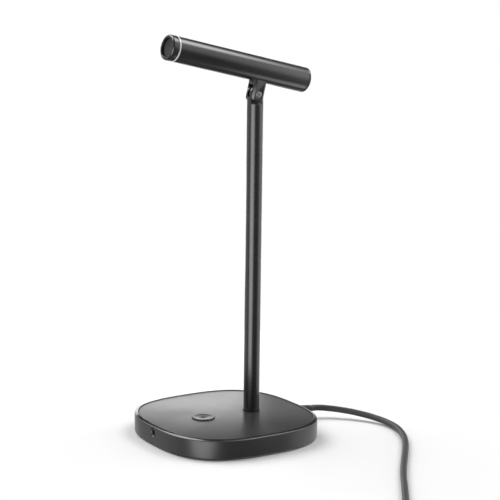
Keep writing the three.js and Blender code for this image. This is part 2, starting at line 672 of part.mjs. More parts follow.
// ---------------------------------------------------------------- cable outside
function strainRelief() {
  const boreR = CABLE_R + 0.15;
  const wallInside = 51.8;
  const wallOutside = 55.2;
  const profile = [
    [boreR, wallInside - 0.8],
    [RELIEF_FLANGE_R, wallInside - 0.8],
    [RELIEF_FLANGE_R, wallInside],
    [RELIEF_NECK_R, wallInside],
    [RELIEF_NECK_R, wallOutside],
    [RELIEF_BODY_R, wallOutside],
    [RELIEF_BODY_R - 0.15, wallOutside + 2.3],
    [RELIEF_TIP_R, RELIEF_END],
    [boreR, RELIEF_END],
    [boreR, wallInside - 0.8],
  ];
  return solidOf(turned(profile, SMALL).rotateX(-Math.PI / 2).translate(0, 0, CABLE_Z));
}

// Straight out, down to the desk in a wide turn to the right, then away to the coil.
function usbCable() {
  const onDesk = CABLE_R + 0.05;
  const route = [
    [0, RELIEF_END + 0.3, CABLE_Z],
    [0.5, 73, 7],
    [4.9, 80.3, 6.5],
    [13.8, 89.2, 5.6],
    [22.8, 95.5, 4.6],
    [32, 100, 3.5],
    [42.2, 102, 2.7],
    [54.9, 100.4, 2.3],
    [68.3, 94.7, onDesk],
    [80, 87.4, onDesk],
    [96, 75, onDesk],
    [114, 60, onDesk],
    [134, 44, onDesk],
    [155, 28.6, onDesk],
    [176, 13, onDesk],
    [194.6, -1.2, onDesk + 0.45],
  ].map((p) => new THREE.Vector3(...p));
  return tubeAlong(route, CABLE_R, 44);
}

function cableCoil() {
  return solidOf(
    turned([
      [COIL_INNER_R, COIL_BOTTOM],
      [COIL_OUTER_R, COIL_BOTTOM],
      [COIL_OUTER_R, COIL_TOP],
      [COIL_INNER_R, COIL_TOP],
      [COIL_INNER_R, COIL_BOTTOM],
    ]).translate(COIL_X, COIL_Y, 0),
  );
}

// A strap round the turns, on the side away from the base.
function cableTie() {
  const width = 5;
  const thick = 0.6;
  const gap = 0.3;
  const x0 = COIL_X + COIL_INNER_R - gap - 0.3;
  const x1 = COIL_X + COIL_OUTER_R + gap + 0.1;
  const y0 = COIL_Y - width / 2;
  const y1 = COIL_Y + width / 2;
  const outer = block(x0 - thick, x1 + thick, y0, y1, 0, COIL_TOP + gap + thick);
  return cut(outer, block(x0, x1, y0 - 1, y1 + 1, thick, COIL_TOP + gap));
}

const PLUG_X = COIL_X + 30.2;
const PLUG_Z = 4.4;
const GRIP_BACK = 34;
const GRIP_FRONT = 58;
const SHELL_FRONT = 69.8;

function cableTail() {
  const route = [
    [COIL_X + 30.1, COIL_Y + 20.6, CABLE_R + 0.5],
    [COIL_X + 30.2, COIL_Y + 23.5, 3.1],
    [PLUG_X, GRIP_BACK - 3.2, 4],
    [PLUG_X, GRIP_BACK - 0.6, PLUG_Z],
  ].map((p) => new THREE.Vector3(...p));
  return tubeAlong(route, CABLE_R, 8);
}

function plugGrip() {
  const sleeveR = 2.6;
  const half = { x: 7.6, z: 4 };
  const sleeve = alongY(sleeveR, PLUG_X, PLUG_Z, GRIP_BACK, GRIP_BACK + 8);
  const left = PLUG_X - half.x;
  const right = PLUG_X + half.x;
  const body = block(left, right, GRIP_BACK + 6, GRIP_FRONT, PLUG_Z - half.z, PLUG_Z + half.z);
  return join(sleeve, body);
}

// A standard type A plug: 12 mm wide and 4.5 mm thick, open at its mouth.
function plugShell() {
  const half = { x: 6, z: 2.25 };
  const wall = 0.3;
  const body = block(
    PLUG_X - half.x,
    PLUG_X + half.x,
    GRIP_FRONT,
    SHELL_FRONT,
    PLUG_Z - half.z,
    PLUG_Z + half.z,
  );
  const mouth = block(
    PLUG_X - half.x + wall,
    PLUG_X + half.x - wall,
    GRIP_FRONT + 0.5,
    SHELL_FRONT + 1,
    PLUG_Z - half.z + wall,
    PLUG_Z + half.z - wall,
  );
  return cut(body, mouth);
}

function plugTongue() {
  const half = 5.4;
  const thick = 1.8;
  return block(PLUG_X - half, PLUG_X + half, GRIP_FRONT + 0.6, SHELL_FRONT - 0.4, PLUG_Z, PLUG_Z + thick);
}

// ---------------------------------------------------------------- assembly
const base = new THREE.Group();
base.add(
  piece("base_housing", baseHousing(), "painted"),
  piece("base_top_plate", topPlate(), "painted"),
  piece("base_bottom_cover", bottomCover(), "painted"),
  piece("foot_pad", footPad(), "rubber"),
  piece("ballast_plate", ballastPlate(), "steel"),
  piece("main_board", mainBoard(), "board"),
  piece("audio_chip", audioChip(), "chip"),
  piece("crystal", crystal(), "steel"),
  piece("capacitor_1", capacitor(-2.6), "steel"),
  piece("capacitor_2", capacitor(2.6), "steel"),
  piece("mic_connector", micConnector(), "connector"),
  piece("usb_connector", usbConnector(), "connector"),
  piece("headphone_jack", headphoneJack(), "blackPlastic"),
  piece("jack_ferrule", jackFerrule(), "blackPlastic"),
  piece("mute_switch", switchBody(), "chip"),
);
corners.forEach((at, i) => base.add(piece(`cover_screw_${i + 1}`, coverScrew(at), "steel")));
POST_AT.forEach((at, i) => base.add(piece(`board_screw_${i + 1}`, boardScrew(at), "steel")));

const button = new THREE.Group();
button.add(
  piece("mute_button", muteButton(), "anodised"),
  piece("mute_switch_stem", switchStem(), "connector"),
);

const pole = new THREE.Group();
pole.add(
  piece("pole_collar", poleCollar(), "blackPlastic"),
  piece("pole_nipple", poleNipple(), "brass"),
  piece("pole_nut", poleNut(), "steel"),
  piece("pole_washer", poleWasher(), "steel"),
  piece("pole_tube", poleTube(), "anodised"),
  piece("hinge_knuckle", hingeKnuckle(), "anodised"),
);
for (const [name, side] of [
  ["right", 1],
  ["left", -1],
]) {
  pole.add(piece(`hinge_screw_${name}`, hingeScrew(side), "steel"));
  pole.add(piece(`friction_washer_${name}`, frictionWasher(side), "steel"));
}

const head = new THREE.Group();
head.position.set(0, POLE_Y, PIVOT_Z);
head.rotation.x = -TILT;
head.add(
  piece("hinge_fork", hingeFork(), "anodised"),
  piece("saddle_washer", saddleWasher(), "steel"),
  piece("fork_nut", forkNut(), "steel"),
  piece("mic_tube", micTube(), "anodised"),
  piece("accent_ring", accentRing(), "polished"),
  piece("nose_cap", noseCap(), "anodised"),
  piece("grille_mesh", grilleMesh(), "steel"),
  piece("wind_foam", windFoam(), "foam"),
  piece("capsule_boot", capsuleBoot(), "rubber"),
  piece("microphone_capsule", capsule(), "steel"),
  piece("capsule_board", capsuleBoard(), "board"),
  piece("rear_cap", rearCap(), "anodised"),
);

const leads = new THREE.Group();
leads.add(
  piece("mic_lead", micLead(), "cable"),
  piece("usb_cable_inner", innerCable(), "cable"),
  piece("strain_relief", strainRelief(), "rubber"),
  piece("usb_cable", usbCable(), "cable"),
  piece("cable_coil", cableCoil(), "cable"),
  piece("cable_tie", cableTie(), "rubber"),
  piece("cable_tail", cableTail(), "cable"),
  piece("usb_plug_grip", plugGrip(), "blackPlastic"),
  piece("usb_plug_shell", plugShell(), "steel"),
  piece("usb_plug_tongue", plugTongue(), "connector"),
);

const microphone = new THREE.Group();
microphone.name = "desktop_microphone";
microphone.add(base, button, pole, head, leads);

export default microphone;
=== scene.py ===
"""A desktop USB microphone: a slim tube on a fork, a round pole, and a weighted base with a mute button.

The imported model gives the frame. Each section below makes one piece, or a group of like pieces, with its
sizes, finish and mesh. Sizes are in millimetres and are scaled to metres as each mesh is made.
"""

import math

import bmesh
import bpy
from mathutils import Matrix, Vector


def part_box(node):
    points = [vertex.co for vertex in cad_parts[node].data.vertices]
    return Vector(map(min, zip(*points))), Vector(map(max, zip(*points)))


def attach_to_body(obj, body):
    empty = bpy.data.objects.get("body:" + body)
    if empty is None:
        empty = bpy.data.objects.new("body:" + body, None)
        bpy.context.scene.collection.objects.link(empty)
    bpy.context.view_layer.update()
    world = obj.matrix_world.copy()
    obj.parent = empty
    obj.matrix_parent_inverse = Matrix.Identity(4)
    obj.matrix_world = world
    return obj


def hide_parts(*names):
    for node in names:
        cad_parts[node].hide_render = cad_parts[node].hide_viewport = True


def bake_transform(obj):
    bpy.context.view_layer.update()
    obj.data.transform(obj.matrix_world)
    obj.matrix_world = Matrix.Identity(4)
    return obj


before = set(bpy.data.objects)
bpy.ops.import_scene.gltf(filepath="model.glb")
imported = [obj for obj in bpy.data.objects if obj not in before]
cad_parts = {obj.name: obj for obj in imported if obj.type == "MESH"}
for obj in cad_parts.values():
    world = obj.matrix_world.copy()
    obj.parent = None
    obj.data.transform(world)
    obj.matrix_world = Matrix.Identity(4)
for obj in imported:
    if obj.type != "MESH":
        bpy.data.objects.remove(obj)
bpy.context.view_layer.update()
MM = 0.001


# ---- Studio
# A white sweep in a dim room. A strip light stands at the left of the camera, a bright patch hangs high
# on the right, and broad dim ones fill in, so that round metal shows soft bright and dark bands.
CAMERA_AT = Vector((0.93538, -0.59174, 0.33725))
CAMERA_AIM = Vector((-0.01152, 0.02507, 0.11881))
CAMERA_ROLL = 0.71
LENS = 125.6

camera = bpy.data.objects.new("camera", bpy.data.cameras.new("camera"))
camera.data.lens = LENS
camera.data.clip_start = 0.01
camera.data.clip_end = 50
camera.location = CAMERA_AT
camera.rotation_mode = "QUATERNION"
level = (CAMERA_AIM - CAMERA_AT).to_track_quat("-Z", "Y").to_matrix()
camera.rotation_quaternion = (level @ Matrix.Rotation(math.radians(CAMERA_ROLL), 3, "Z")).to_quaternion()
put_in_scene = bpy.context.scene.collection.objects.link
put_in_scene(camera)
bpy.context.scene.camera = camera
bpy.context.scene.view_settings.view_transform = "Standard"

FLOOR_HALF = 6
floor_mesh = bpy.data.meshes.new("floor")
corners = [(FLOOR_HALF * x, FLOOR_HALF * y, 0) for x, y in ((-1, -1), (1, -1), (1, 1), (-1, 1))]
floor_mesh.from_pydata(corners, [], [(0, 1, 2, 3)])
floor = bpy.data.objects.new("floor", floor_mesh)
put_in_scene(floor)
floor.visible_glossy = False
floor.visible_shadow = False

paper = bpy.data.materials.new("white_paper")
paper.use_nodes = True
paper_shader = paper.node_tree.nodes["Principled BSDF"]
paper_shader.inputs["Base Color"].default_value = (0.9, 0.9, 0.9, 1)
paper_shader.inputs["Roughness"].default_value = 0.9
paper_shader.inputs["Specular IOR Level"].default_value = 0.1
floor_mesh.materials.append(paper)

# Each light of the room: the direction of its middle (degrees round from +X, degrees up), how far its
# full brightness and its soft edge reach in degrees, and its brightness.
ROOM_DARK = 0.13
ROOM_LIGHTS = [
    ("overhead", 82, 57, 10, 22, 4.8),
    ("front", 55, 38, 10, 56, 0.7),
    ("strip", -62, -8, 16, 34, 2.5),
    ("side", 84, -8, 22, 50, 0.95),
    ("backdrop", 150, -14, 12, 38, 0.9),
    ("far_left", 213, -8, 12, 52, 0.5),
    ("bounce", 72, -56, 5, 17, 1.6),
]
WHITE = 1.05

world = bpy.data.worlds.new("studio")
bpy.context.scene.world = world
world.use_nodes = True
room = world.node_tree
room.nodes.clear()
looking = room.nodes.new("ShaderNodeTexCoord").outputs["Generated"]
total = None
for name, around, up, full, reach, brightness in ROOM_LIGHTS:
    around, up = math.radians(around), math.radians(up)
    towards = room.nodes.new("ShaderNodeVectorMath")
    towards.name = name
    towards.operation = "DOT_PRODUCT"
    towards.inputs[1].default_value = (
        math.cos(around) * math.cos(up),
        math.sin(around) * math.cos(up),
        math.sin(up),
    )
    room.links.new(looking, towards.inputs[0])
    glow = room.nodes.new("ShaderNodeMapRange")
    glow.interpolation_type = "SMOOTHSTEP"
    glow.inputs["From Min"].default_value = math.cos(math.radians(reach))
    glow.inputs["From Max"].default_value = math.cos(math.radians(full))
    glow.inputs["To Max"].default_value = brightness
    room.links.new(towards.outputs["Value"], glow.inputs["Value"])
    added = room.nodes.new("ShaderNodeMath")
    added.operation = "ADD"
    room.links.new(glow.outputs["Result"], added.inputs[0])
    if total is None:
        added.inputs[1].default_value = ROOM_DARK
    else:
        room.links.new(total, added.inputs[1])
    total = added.outputs["Value"]
lit = room.nodes.new("ShaderNodeBackground")
room.links.new(total, lit.inputs["Strength"])
seen = room.nodes.new("ShaderNodeBackground")
seen.inputs["Strength"].default_value = WHITE
chosen = room.nodes.new("ShaderNodeMixShader")
room.links.new(room.nodes.new("ShaderNodeLightPath").outputs["Is Camera Ray"], chosen.inputs["Fac"])
room.links.new(lit.outputs["Background"], chosen.inputs[1])
room.links.new(seen.outputs["Background"], chosen.inputs[2])
sky = room.nodes.new("ShaderNodeOutputWorld")
room.links.new(chosen.outputs["Shader"], sky.inputs["Surface"])

# A broad soft key light from behind on the left, which draws the shadow out to the right.
KEY_TOWARDS = Vector((0.75, 0.35, -1))
KEY_STRENGTH, KEY_BREADTH = 2.25, 50
key = bpy.data.objects.new("key", bpy.data.lights.new("key", "SUN"))
key.data.energy = KEY_STRENGTH
key.data.angle = math.radians(KEY_BREADTH)
key.rotation_euler = KEY_TOWARDS.to_track_quat("-Z", "Y").to_euler()
put_in_scene(key)

# A low white card behind the base, out of the camera's sight, lights the top plate from the back.
CARD_AT, CARD_TOWARDS = Vector((-0.315, 0.08, 0.078)), Vector((0.82, -0.54, 0))
CARD_WIDTH, CARD_HEIGHT, CARD_POWER = 0.26, 0.1, 0.155
card = bpy.data.objects.new("card", bpy.data.lights.new("card", "AREA"))
card.data.shape = "RECTANGLE"
card.data.size = CARD_WIDTH
card.data.size_y = CARD_HEIGHT
card.data.energy = CARD_POWER
card.location = CARD_AT
card.rotation_euler = CARD_TOWARDS.to_track_quat("-Z", "Y").to_euler()
card.visible_camera = False
put_in_scene(card)


# ---- USB cable
# Round PVC-jacketed cable, 1.5 m long. It leaves the back of the base, lies on the desk, and its spare
# length is wound in two layers of turns with the last turn running out to the plug.
CABLE_R = 2.1
CABLE_Z = 7.2
RELIEF_END = 67
COIL_AT = (231, 5)
COIL_INNER, COIL_OUTER = 13.5, 31.5
LAYER_TURNS = 4.1
STEP_TURNS = 0.189
LAYER_LOW, LAYER_HIGH = 2.95, 7.2
COIL_START = 230
POINTS_PER_TURN = 16

cable_route = [
    (0, RELIEF_END - 1.2, CABLE_Z),
    (0.5, 73, 7),
    (4.9, 80.3, 6.5),
    (13.8, 89.2, 5.6),
    (22.8, 95.5, 4.6),
    (32, 100, 3.5),
    (42.2, 102, 2.7),
    (54.9, 100.4, 2.3),
    (68.3, 94.7, 2.15),
    (80, 87.4, 2.15),
    (96, 75, 2.15),
    (114, 60, 2.15),
    (134, 44, 2.15),
    (155, 28.6, 2.15),
    (176, 13, 2.15),
    (194.6, -1.2, 2.2),
    (203.8, -9.6, 2.6),
]
cable_tail = [
    (261.9, 15, 6.2),
    (261.6, 19.5, 4.6),
    (261.3, 24.5, 3.2),
    (261.2, 29.5, 3.6),
    (261.2, 35, 4.4),
]


def coil_points():
    """Inwards on the lower layer, up a step beside the hole, then outwards on the upper layer."""
    turns = 2 * LAYER_TURNS + STEP_TURNS
    count = round(turns * POINTS_PER_TURN)
    points = []
    for i in range(count + 1):
        turn = turns * i / count
        inwards = min(turn / LAYER_TURNS, 1)
        outwards = max((turn - LAYER_TURNS - STEP_TURNS) / LAYER_TURNS, 0)
        climb = min(max((turn - LAYER_TURNS) / STEP_TURNS, 0), 1)
        radius = COIL_OUTER + (COIL_INNER - COIL_OUTER) * (inwards - outwards)
        angle = math.radians(COIL_START) + 2 * math.pi * turn
        z = LAYER_LOW + (LAYER_HIGH - LAYER_LOW) * climb
        points.append((COIL_AT[0] + radius * math.cos(angle), COIL_AT[1] + radius * math.sin(angle), z))
    return points


def tube_curve(name, points, radius, smooth=4):
    """A round tube on one open spline through these points."""
    data = bpy.data.curves.new(name, "CURVE")
    data.dimensions = "3D"
    data.resolution_u = smooth
    data.bevel_depth = radius * MM
    data.bevel_resolution = 4
    data.use_fill_caps = True
    spline = data.splines.new("BEZIER")
    spline.bezier_points.add(len(points) - 1)
    for knot, place in zip(spline.bezier_points, points):
        knot.co = Vector(place) * MM
        knot.handle_left_type = knot.handle_right_type = "AUTO"
    made = bpy.data.objects.new(name, data)
    put_in_scene(made)
    return made


def noise(tree, vector, scale, detail=2.0):
    """The output of a noise texture of this scale, in features per metre."""
    node = tree.nodes.new("ShaderNodeTexNoise")
    node.inputs["Scale"].default_value = scale
    node.inputs["Detail"].default_value = detail
    tree.links.new(vector, node.inputs["Vector"])
    return node.outputs["Fac"]


def spread(tree, value, low, high, start=0.3, end=0.7):
    """The value's range start..end stretched to low..high."""
    node = tree.nodes.new("ShaderNodeMapRange")
    node.inputs["From Min"].default_value = start
    node.inputs["From Max"].default_value = end
    node.inputs["To Min"].default_value = low
    node.inputs["To Max"].default_value = high
    tree.links.new(value, node.inputs["Value"])
    return node.outputs["Result"]


def blend_colour(tree, factor, first, second):
    """A colour between two others; each is a colour or another node's output."""
    node = tree.nodes.new("ShaderNodeMix")
    node.data_type = "RGBA"
    tree.links.new(factor, node.inputs["Factor"])
    for socket, colour in (("A", first), ("B", second)):
        socket = next(s for s in node.inputs if s.name == socket and s.type == "RGBA")
        if isinstance(colour, bpy.types.NodeSocket):
            tree.links.new(colour, socket)
        else:
            socket.default_value = (*colour, 1)
    return next(s for s in node.outputs if s.type == "RGBA")


EDGE_MM = 0.3
CLOUD, RUB = 40, 400


def finish(name, colour, roughness, metallic=0.0, grain=0.25, depth=0.004, mottle=0.08, drift=0.12,
           stretch=(1, 1, 1), worn=None, wear=0.5):
    """A finish with grain of that size and depth in millimetres, cloudy tone and gloss, and worn edges.

    mottle and drift are the shares by which tone and roughness vary. stretch draws the grain out along
    an axis, as drawing or brushing does. worn is the colour that shows through along edges, by the share
    wear.
    """
    made = bpy.data.materials.new(name)
    made.use_nodes = True
    tree = made.node_tree
    shader = tree.nodes["Principled BSDF"]
    shader.inputs["Metallic"].default_value = metallic
    place = tree.nodes.new("ShaderNodeTexCoord").outputs["Object"]
    drawn = tree.nodes.new("ShaderNodeMapping")
    drawn.inputs["Scale"].default_value = stretch
    tree.links.new(place, drawn.inputs["Vector"])
    speckle = noise(tree, drawn.outputs["Vector"], 1 / (grain * MM), 3)
    cloud = noise(tree, place, CLOUD, 4)
    darker = [c * (1 - mottle) for c in colour]
    lighter = [c * (1 + mottle) for c in colour]
    tone = blend_colour(tree, spread(tree, cloud, 0, 1), darker, lighter)
    gloss = tree.nodes.new("ShaderNodeMath")
    gloss.operation = "ADD"
    tree.links.new(spread(tree, cloud, -drift * roughness, drift * roughness), gloss.inputs[0])
    tree.links.new(spread(tree, speckle, roughness * (1 - drift / 2), roughness * (1 + drift / 2)),
                   gloss.inputs[1])
    if worn:
        softened = tree.nodes.new("ShaderNodeBevel")
        softened.samples = 6
        softened.inputs["Radius"].default_value = EDGE_MM * MM
        compared = tree.nodes.new("ShaderNodeVectorMath")
        compared.operation = "DOT_PRODUCT"
        tree.links.new(softened.outputs["Normal"], compared.inputs[0])
        tree.links.new(tree.nodes.new("ShaderNodeNewGeometry").outputs["Normal"], compared.inputs[1])
        edge = spread(tree, compared.outputs["Value"], wear, 0, 0.8, 0.98)
        rubbed = tree.nodes.new("ShaderNodeMath")
        rubbed.operation = "MULTIPLY"
        tree.links.new(edge, rubbed.inputs[0])
        tree.links.new(spread(tree, noise(tree, place, RUB, 3), 0.4, 1), rubbed.inputs[1])
        tone = blend_colour(tree, rubbed.outputs["Value"], tone, worn)
    tree.links.new(tone, shader.inputs["Base Color"])
    tree.links.new(gloss.outputs["Value"], shader.inputs["Roughness"])
    relief = tree.nodes.new("ShaderNodeBump")
    relief.inputs["Distance"].default_value = depth * MM
    tree.links.new(speckle, relief.inputs["Height"])
    tree.links.new(relief.outputs["Normal"], shader.inputs["Normal"])
    return made


def attach(piece, body, slot, *nodes):
    """The piece rides on a body and stands for these nodes, which are hidden. The slot is not used."""
    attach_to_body(piece, body)
    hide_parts(*nodes)
    return piece


jacket = finish("cable_jacket", (0.05, 0.051, 0.053), 0.5, grain=0.35, depth=0.01, mottle=0.1)
cable = tube_curve("usb_cable_free", cable_route + coil_points() + cable_tail, CABLE_R)
cable.data.materials.append(jacket)
attach(cable, "stand", "cable_jacket", "usb_cable", "cable_coil", "cable_tail")


# ---- Strain relief
# Soft rubber sleeve moulded round the cable, with a groove that grips the wall of the base. It tapers
# so that the cable can't kink where it leaves.
ALONG_Y = Matrix.Rotation(math.radians(-90), 4, "X")
ROUND = 96
RELIEF_START, WALL_INSIDE, WALL_OUTSIDE, TAPER_START = 51, 51.8, 55.2, 57.5
RELIEF_FLANGE_R, RELIEF_NECK_R, RELIEF_BODY_R, TAPER_R, RELIEF_TIP_R = 3.15, 2.9, 3.4, 3.2, 2.4


def at(x, y, z=0):
    """A shift to this place, in millimetres."""
    return Matrix.Translation((x, y, z))


def rounded(corners, steps=5):
    """Points of a closed outline whose corners are (x, y, radius of their round)."""
    outline = []
    for i, (x, y, radius) in enumerate(corners):
        corner = Vector((x, y))
        if not radius:
            outline.append(corner)
            continue
        before = (Vector(corners[i - 1][:2]) - corner).normalized()
        after = (Vector(corners[(i + 1) % len(corners)][:2]) - corner).normalized()
        half = before.angle(after) / 2
        centre = corner + (before + after).normalized() * radius / math.sin(half)
        spoke = corner + before * radius / math.tan(half) - centre
        last = corner + after * radius / math.tan(half) - centre
        sweep = math.atan2(spoke.cross(last), spoke.dot(last))
        outline += [centre + Matrix.Rotation(sweep * k / steps, 2) @ spoke for k in range(steps + 1)]
    return outline


def rings(outlines, closed):
    """Vertices and faces of rings of equally many points, each joined to the next."""
    count = len(outlines[0])
    vertices = [point for outline in outlines for point in outline]
    faces = []
    for i in range(len(outlines) if closed else len(outlines) - 1):
        here, there = i * count, (i + 1) % len(outlines) * count
        for k in range(count):
            after = (k + 1) % count
            faces.append((here + k, here + after, there + after, there + k))
    return vertices, faces


SHARP = math.radians(32)


def mark_edges(mesh):
    """Smooth faces with a sharp line along every edge that turns by more than SHARP."""
    work = bmesh.new()
    work.from_mesh(mesh)
    for face in work.faces:
        face.smooth = True
    for edge in work.edges:
        edge.smooth = len(edge.link_faces) == 2 and edge.calc_face_angle(0) < SHARP
    work.to_mesh(mesh)
    work.free()


def solid(name, vertices, faces, material=None, matrix=Matrix(), fill=False):
    """An object from points in millimetres, moved by the matrix. fill closes open ends."""
    mesh = bpy.data.meshes.new(name)
    mesh.from_pydata([Vector(v) for v in vertices], [], faces)
    mesh.transform(Matrix.Scale(MM, 4) @ matrix)
    work = bmesh.new()
    work.from_mesh(mesh)
    bmesh.ops.remove_doubles(work, verts=work.verts, dist=1e-7)
    if fill:
        bmesh.ops.holes_fill(work, edges=work.edges, sides=0)
    bmesh.ops.recalc_face_normals(work, faces=work.faces)
    work.to_mesh(mesh)
    work.free()
    mark_edges(mesh)
    if material:
        mesh.materials.append(material)
    made = bpy.data.objects.new(name, mesh)
    put_in_scene(made)
    return made


def turned(name, profile, material=None, matrix=Matrix(), sides=ROUND, closed=True):
    """A profile of (radius, height) turned about Z. An open profile starts and ends on the axis."""
    spokes = [2 * math.pi * k / sides for k in range(sides)]
    outlines = [[(r * math.cos(a), r * math.sin(a), z) for a in spokes] for r, z in profile]
    return solid(name, *rings(outlines, closed), material, matrix)


soft_rubber = finish("relief_rubber", (0.02, 0.02, 0.021), 0.62, grain=0.3, depth=0.012)
relief_profile = rounded([
    (CABLE_R + 0.15, RELIEF_START, 0.2), (RELIEF_FLANGE_R, RELIEF_START, 0.25),
    (RELIEF_FLANGE_R, WALL_INSIDE, 0.1), (RELIEF_NECK_R, WALL_INSIDE, 0),
    (RELIEF_NECK_R, WALL_OUTSIDE, 0), (RELIEF_BODY_R, WALL_OUTSIDE, 0.3),
    (TAPER_R, TAPER_START, 3), (RELIEF_TIP_R, RELIEF_END, 0.15), (CABLE_R + 0.07, RELIEF_END, 0.1),
])
relief = turned("strain_relief_sleeve", relief_profile, soft_rubber, at(0, 0, CABLE_Z) @ ALONG_Y, 48)
attach(relief, "stand", "rubber", "strain_relief")


# ---- Cable tie
# Rough hook-and-loop strap, soft at its edges. It is wrapped once round all the turns on one side of the
# coil, and holds them together.
TIE_HALF, TIE_ROUND = 2.5, 3.4
STRAP_THICK, EDGE_SOFT = 0.7, 0.15
strap_rubber = finish("tie_strap", (0.018, 0.018, 0.02), 0.95, grain=0.5, depth=0.12, mottle=0.2)
tie_bounds = [round(corner / MM, 2) for corner in (*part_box("cable_tie")[0], *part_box("cable_tie")[1])]
tie_x0, _, tie_z0, tie_x1, _, tie_z1 = tie_bounds


def strap_loop(inset):
    """The strap's path round the turns, seen from the side, this far inside its outer face."""
    x0, x1, z0, z1 = tie_x0 + inset, tie_x1 - inset, tie_z0 + inset, tie_z1 - inset
    radius = TIE_ROUND - inset
    return rounded([(x0, z0, radius), (x1, z0, radius), (x1, z1, radius), (x0, z1, radius)], 8)


strap_section = [
    (0, TIE_HALF - EDGE_SOFT), (0, 0), (0, EDGE_SOFT - TIE_HALF), (EDGE_SOFT, -TIE_HALF),
    (STRAP_THICK - EDGE_SOFT, -TIE_HALF), (STRAP_THICK, EDGE_SOFT - TIE_HALF),
    (STRAP_THICK, TIE_HALF - EDGE_SOFT), (STRAP_THICK - EDGE_SOFT, TIE_HALF), (EDGE_SOFT, TIE_HALF),
]
strap_rings = [[(x, COIL_AT[1] + across, z) for x, z in strap_loop(inset)]
               for inset, across in strap_section]
tie = solid("cable_tie_strap", *rings(strap_rings, True), strap_rubber)
attach(tie, "stand", "rubber", "cable_tie")


# ---- USB plug
# Moulded grip over a folded steel shell with four latch windows, and a tongue with four contacts. The
# grip's tail is ribbed, so that it bends a little with the cable.
PLUG_X, PLUG_Z = 261.2, 4.4
GRIP_BACK, GRIP_FRONT, SHELL_FRONT = 34, 58, 69.8
GRIP_HALF_X, GRIP_HALF_Z = 7.6, 4
RIBS, RIB_PITCH, RIB_GROWTH = 4, 1.8, 0.05
SHELL_HALF_X, SHELL_HALF_Z, SHELL_LIP = 6, 2.25, 0.1
BORE_HALF_X, BORE_HALF_Z, BORE_BACK = 5.7, 1.95, GRIP_FRONT + 0.5
WINDOW_X, WINDOW_HALF, WINDOW_BACK, WINDOW_FRONT = 2.9, 1.1, 62.4, 64.8
TONGUE_X, TONGUE_Z, TONGUE_BACK, TONGUE_FRONT, TONGUE_LIFT = 5.4, 0.9, 58.6, 69.4, 0.9
CONTACTS_AT, CONTACT_HALF, CONTACT_BACK = (-3.5, -1, 1, 3.5), 0.5, 61
OUTER_CONTACT_END, INNER_CONTACT_END = 68.6, 67.6
AT_PLUG = at(PLUG_X, 0, PLUG_Z)


def soft_box(half_x, half_z, radius, y):
    """A ring of a rounded box's section, across the Y axis."""
    corners = [(half_x, half_z), (-half_x, half_z), (-half_x, -half_z), (half_x, -half_z)]
    return [(x, y, z) for x, z in rounded([(*corner, radius) for corner in corners], 7)]


grip_plastic = finish("grip_plastic", (0.014, 0.014, 0.015), 0.42, grain=0.18, depth=0.012)
grip_rings = [soft_box(0.01, 0.01, 0.009, GRIP_BACK), soft_box(2.3, 2.3, 2.29, GRIP_BACK)]
for rib in range(RIBS):
    start = GRIP_BACK + 0.3 + RIB_PITCH * rib
    for y, half in ((start, 2.35), (start + 0.9, 2.45), (start + 1.0, 2.0), (start + 1.7, 2.05)):
        grip_rings.append(soft_box(half + RIB_GROWTH * rib, half + RIB_GROWTH * rib, half - 0.05, y))
grip_sections = [
    (41.6, 3.6, 2.9, 2.4), (42.6, 5.6, 3.4, 2.6), (44, 6.9, 3.75, 2.6), (46.5, 7.5, 3.95, 2.6),
    (50, GRIP_HALF_X, GRIP_HALF_Z, 2.5), (56.8, GRIP_HALF_X, GRIP_HALF_Z, 2.4), (57.6, 7.4, 3.8, 2.2),
    (GRIP_FRONT, 6.9, 3.3, 1.8), (GRIP_FRONT, 0.01, 0.01, 0.009),
]
grip_rings += [soft_box(half_x, half_z, radius, y) for y, half_x, half_z, radius in grip_sections]
grip = solid("usb_grip", *rings(grip_rings, False), grip_plastic, AT_PLUG)
attach(grip, "stand", "black_plastic", "usb_plug_grip")


def block(name, low, high, matrix=Matrix(), material=None):
    """A plain box between two corners: a cutter, or a small pressed part."""
    corners = [(x, y, z) for z in (low[2], high[2]) for y in (low[1], high[1]) for x in (low[0], high[0])]
    faces = [(0, 2, 3, 1), (4, 5, 7, 6), (0, 1, 5, 4), (2, 6, 7, 3), (0, 4, 6, 2), (1, 3, 7, 5)]
    return solid(name, corners, faces, material, matrix)


def settle(piece):
    """The piece's modifiers become its plain mesh."""
    graph = bpy.context.evaluated_depsgraph_get()
    mesh = bpy.data.meshes.new_from_object(piece.evaluated_get(graph))
    piece.modifiers.clear()
    piece.data = mesh
    mark_edges(mesh)


def carve(piece, *cutters, operation="DIFFERENCE"):
    """Cuts each cutter from the piece, or keeps or adds what it shares, and clears the cutters away."""
    for cutter in cutters:
        modifier = piece.modifiers.new("carve", "BOOLEAN")
        modifier.operation = operation
        modifier.solver = "EXACT"
        modifier.object = cutter
    settle(piece)
    for cutter in cutters:
        bpy.data.objects.remove(cutter)
    return piece


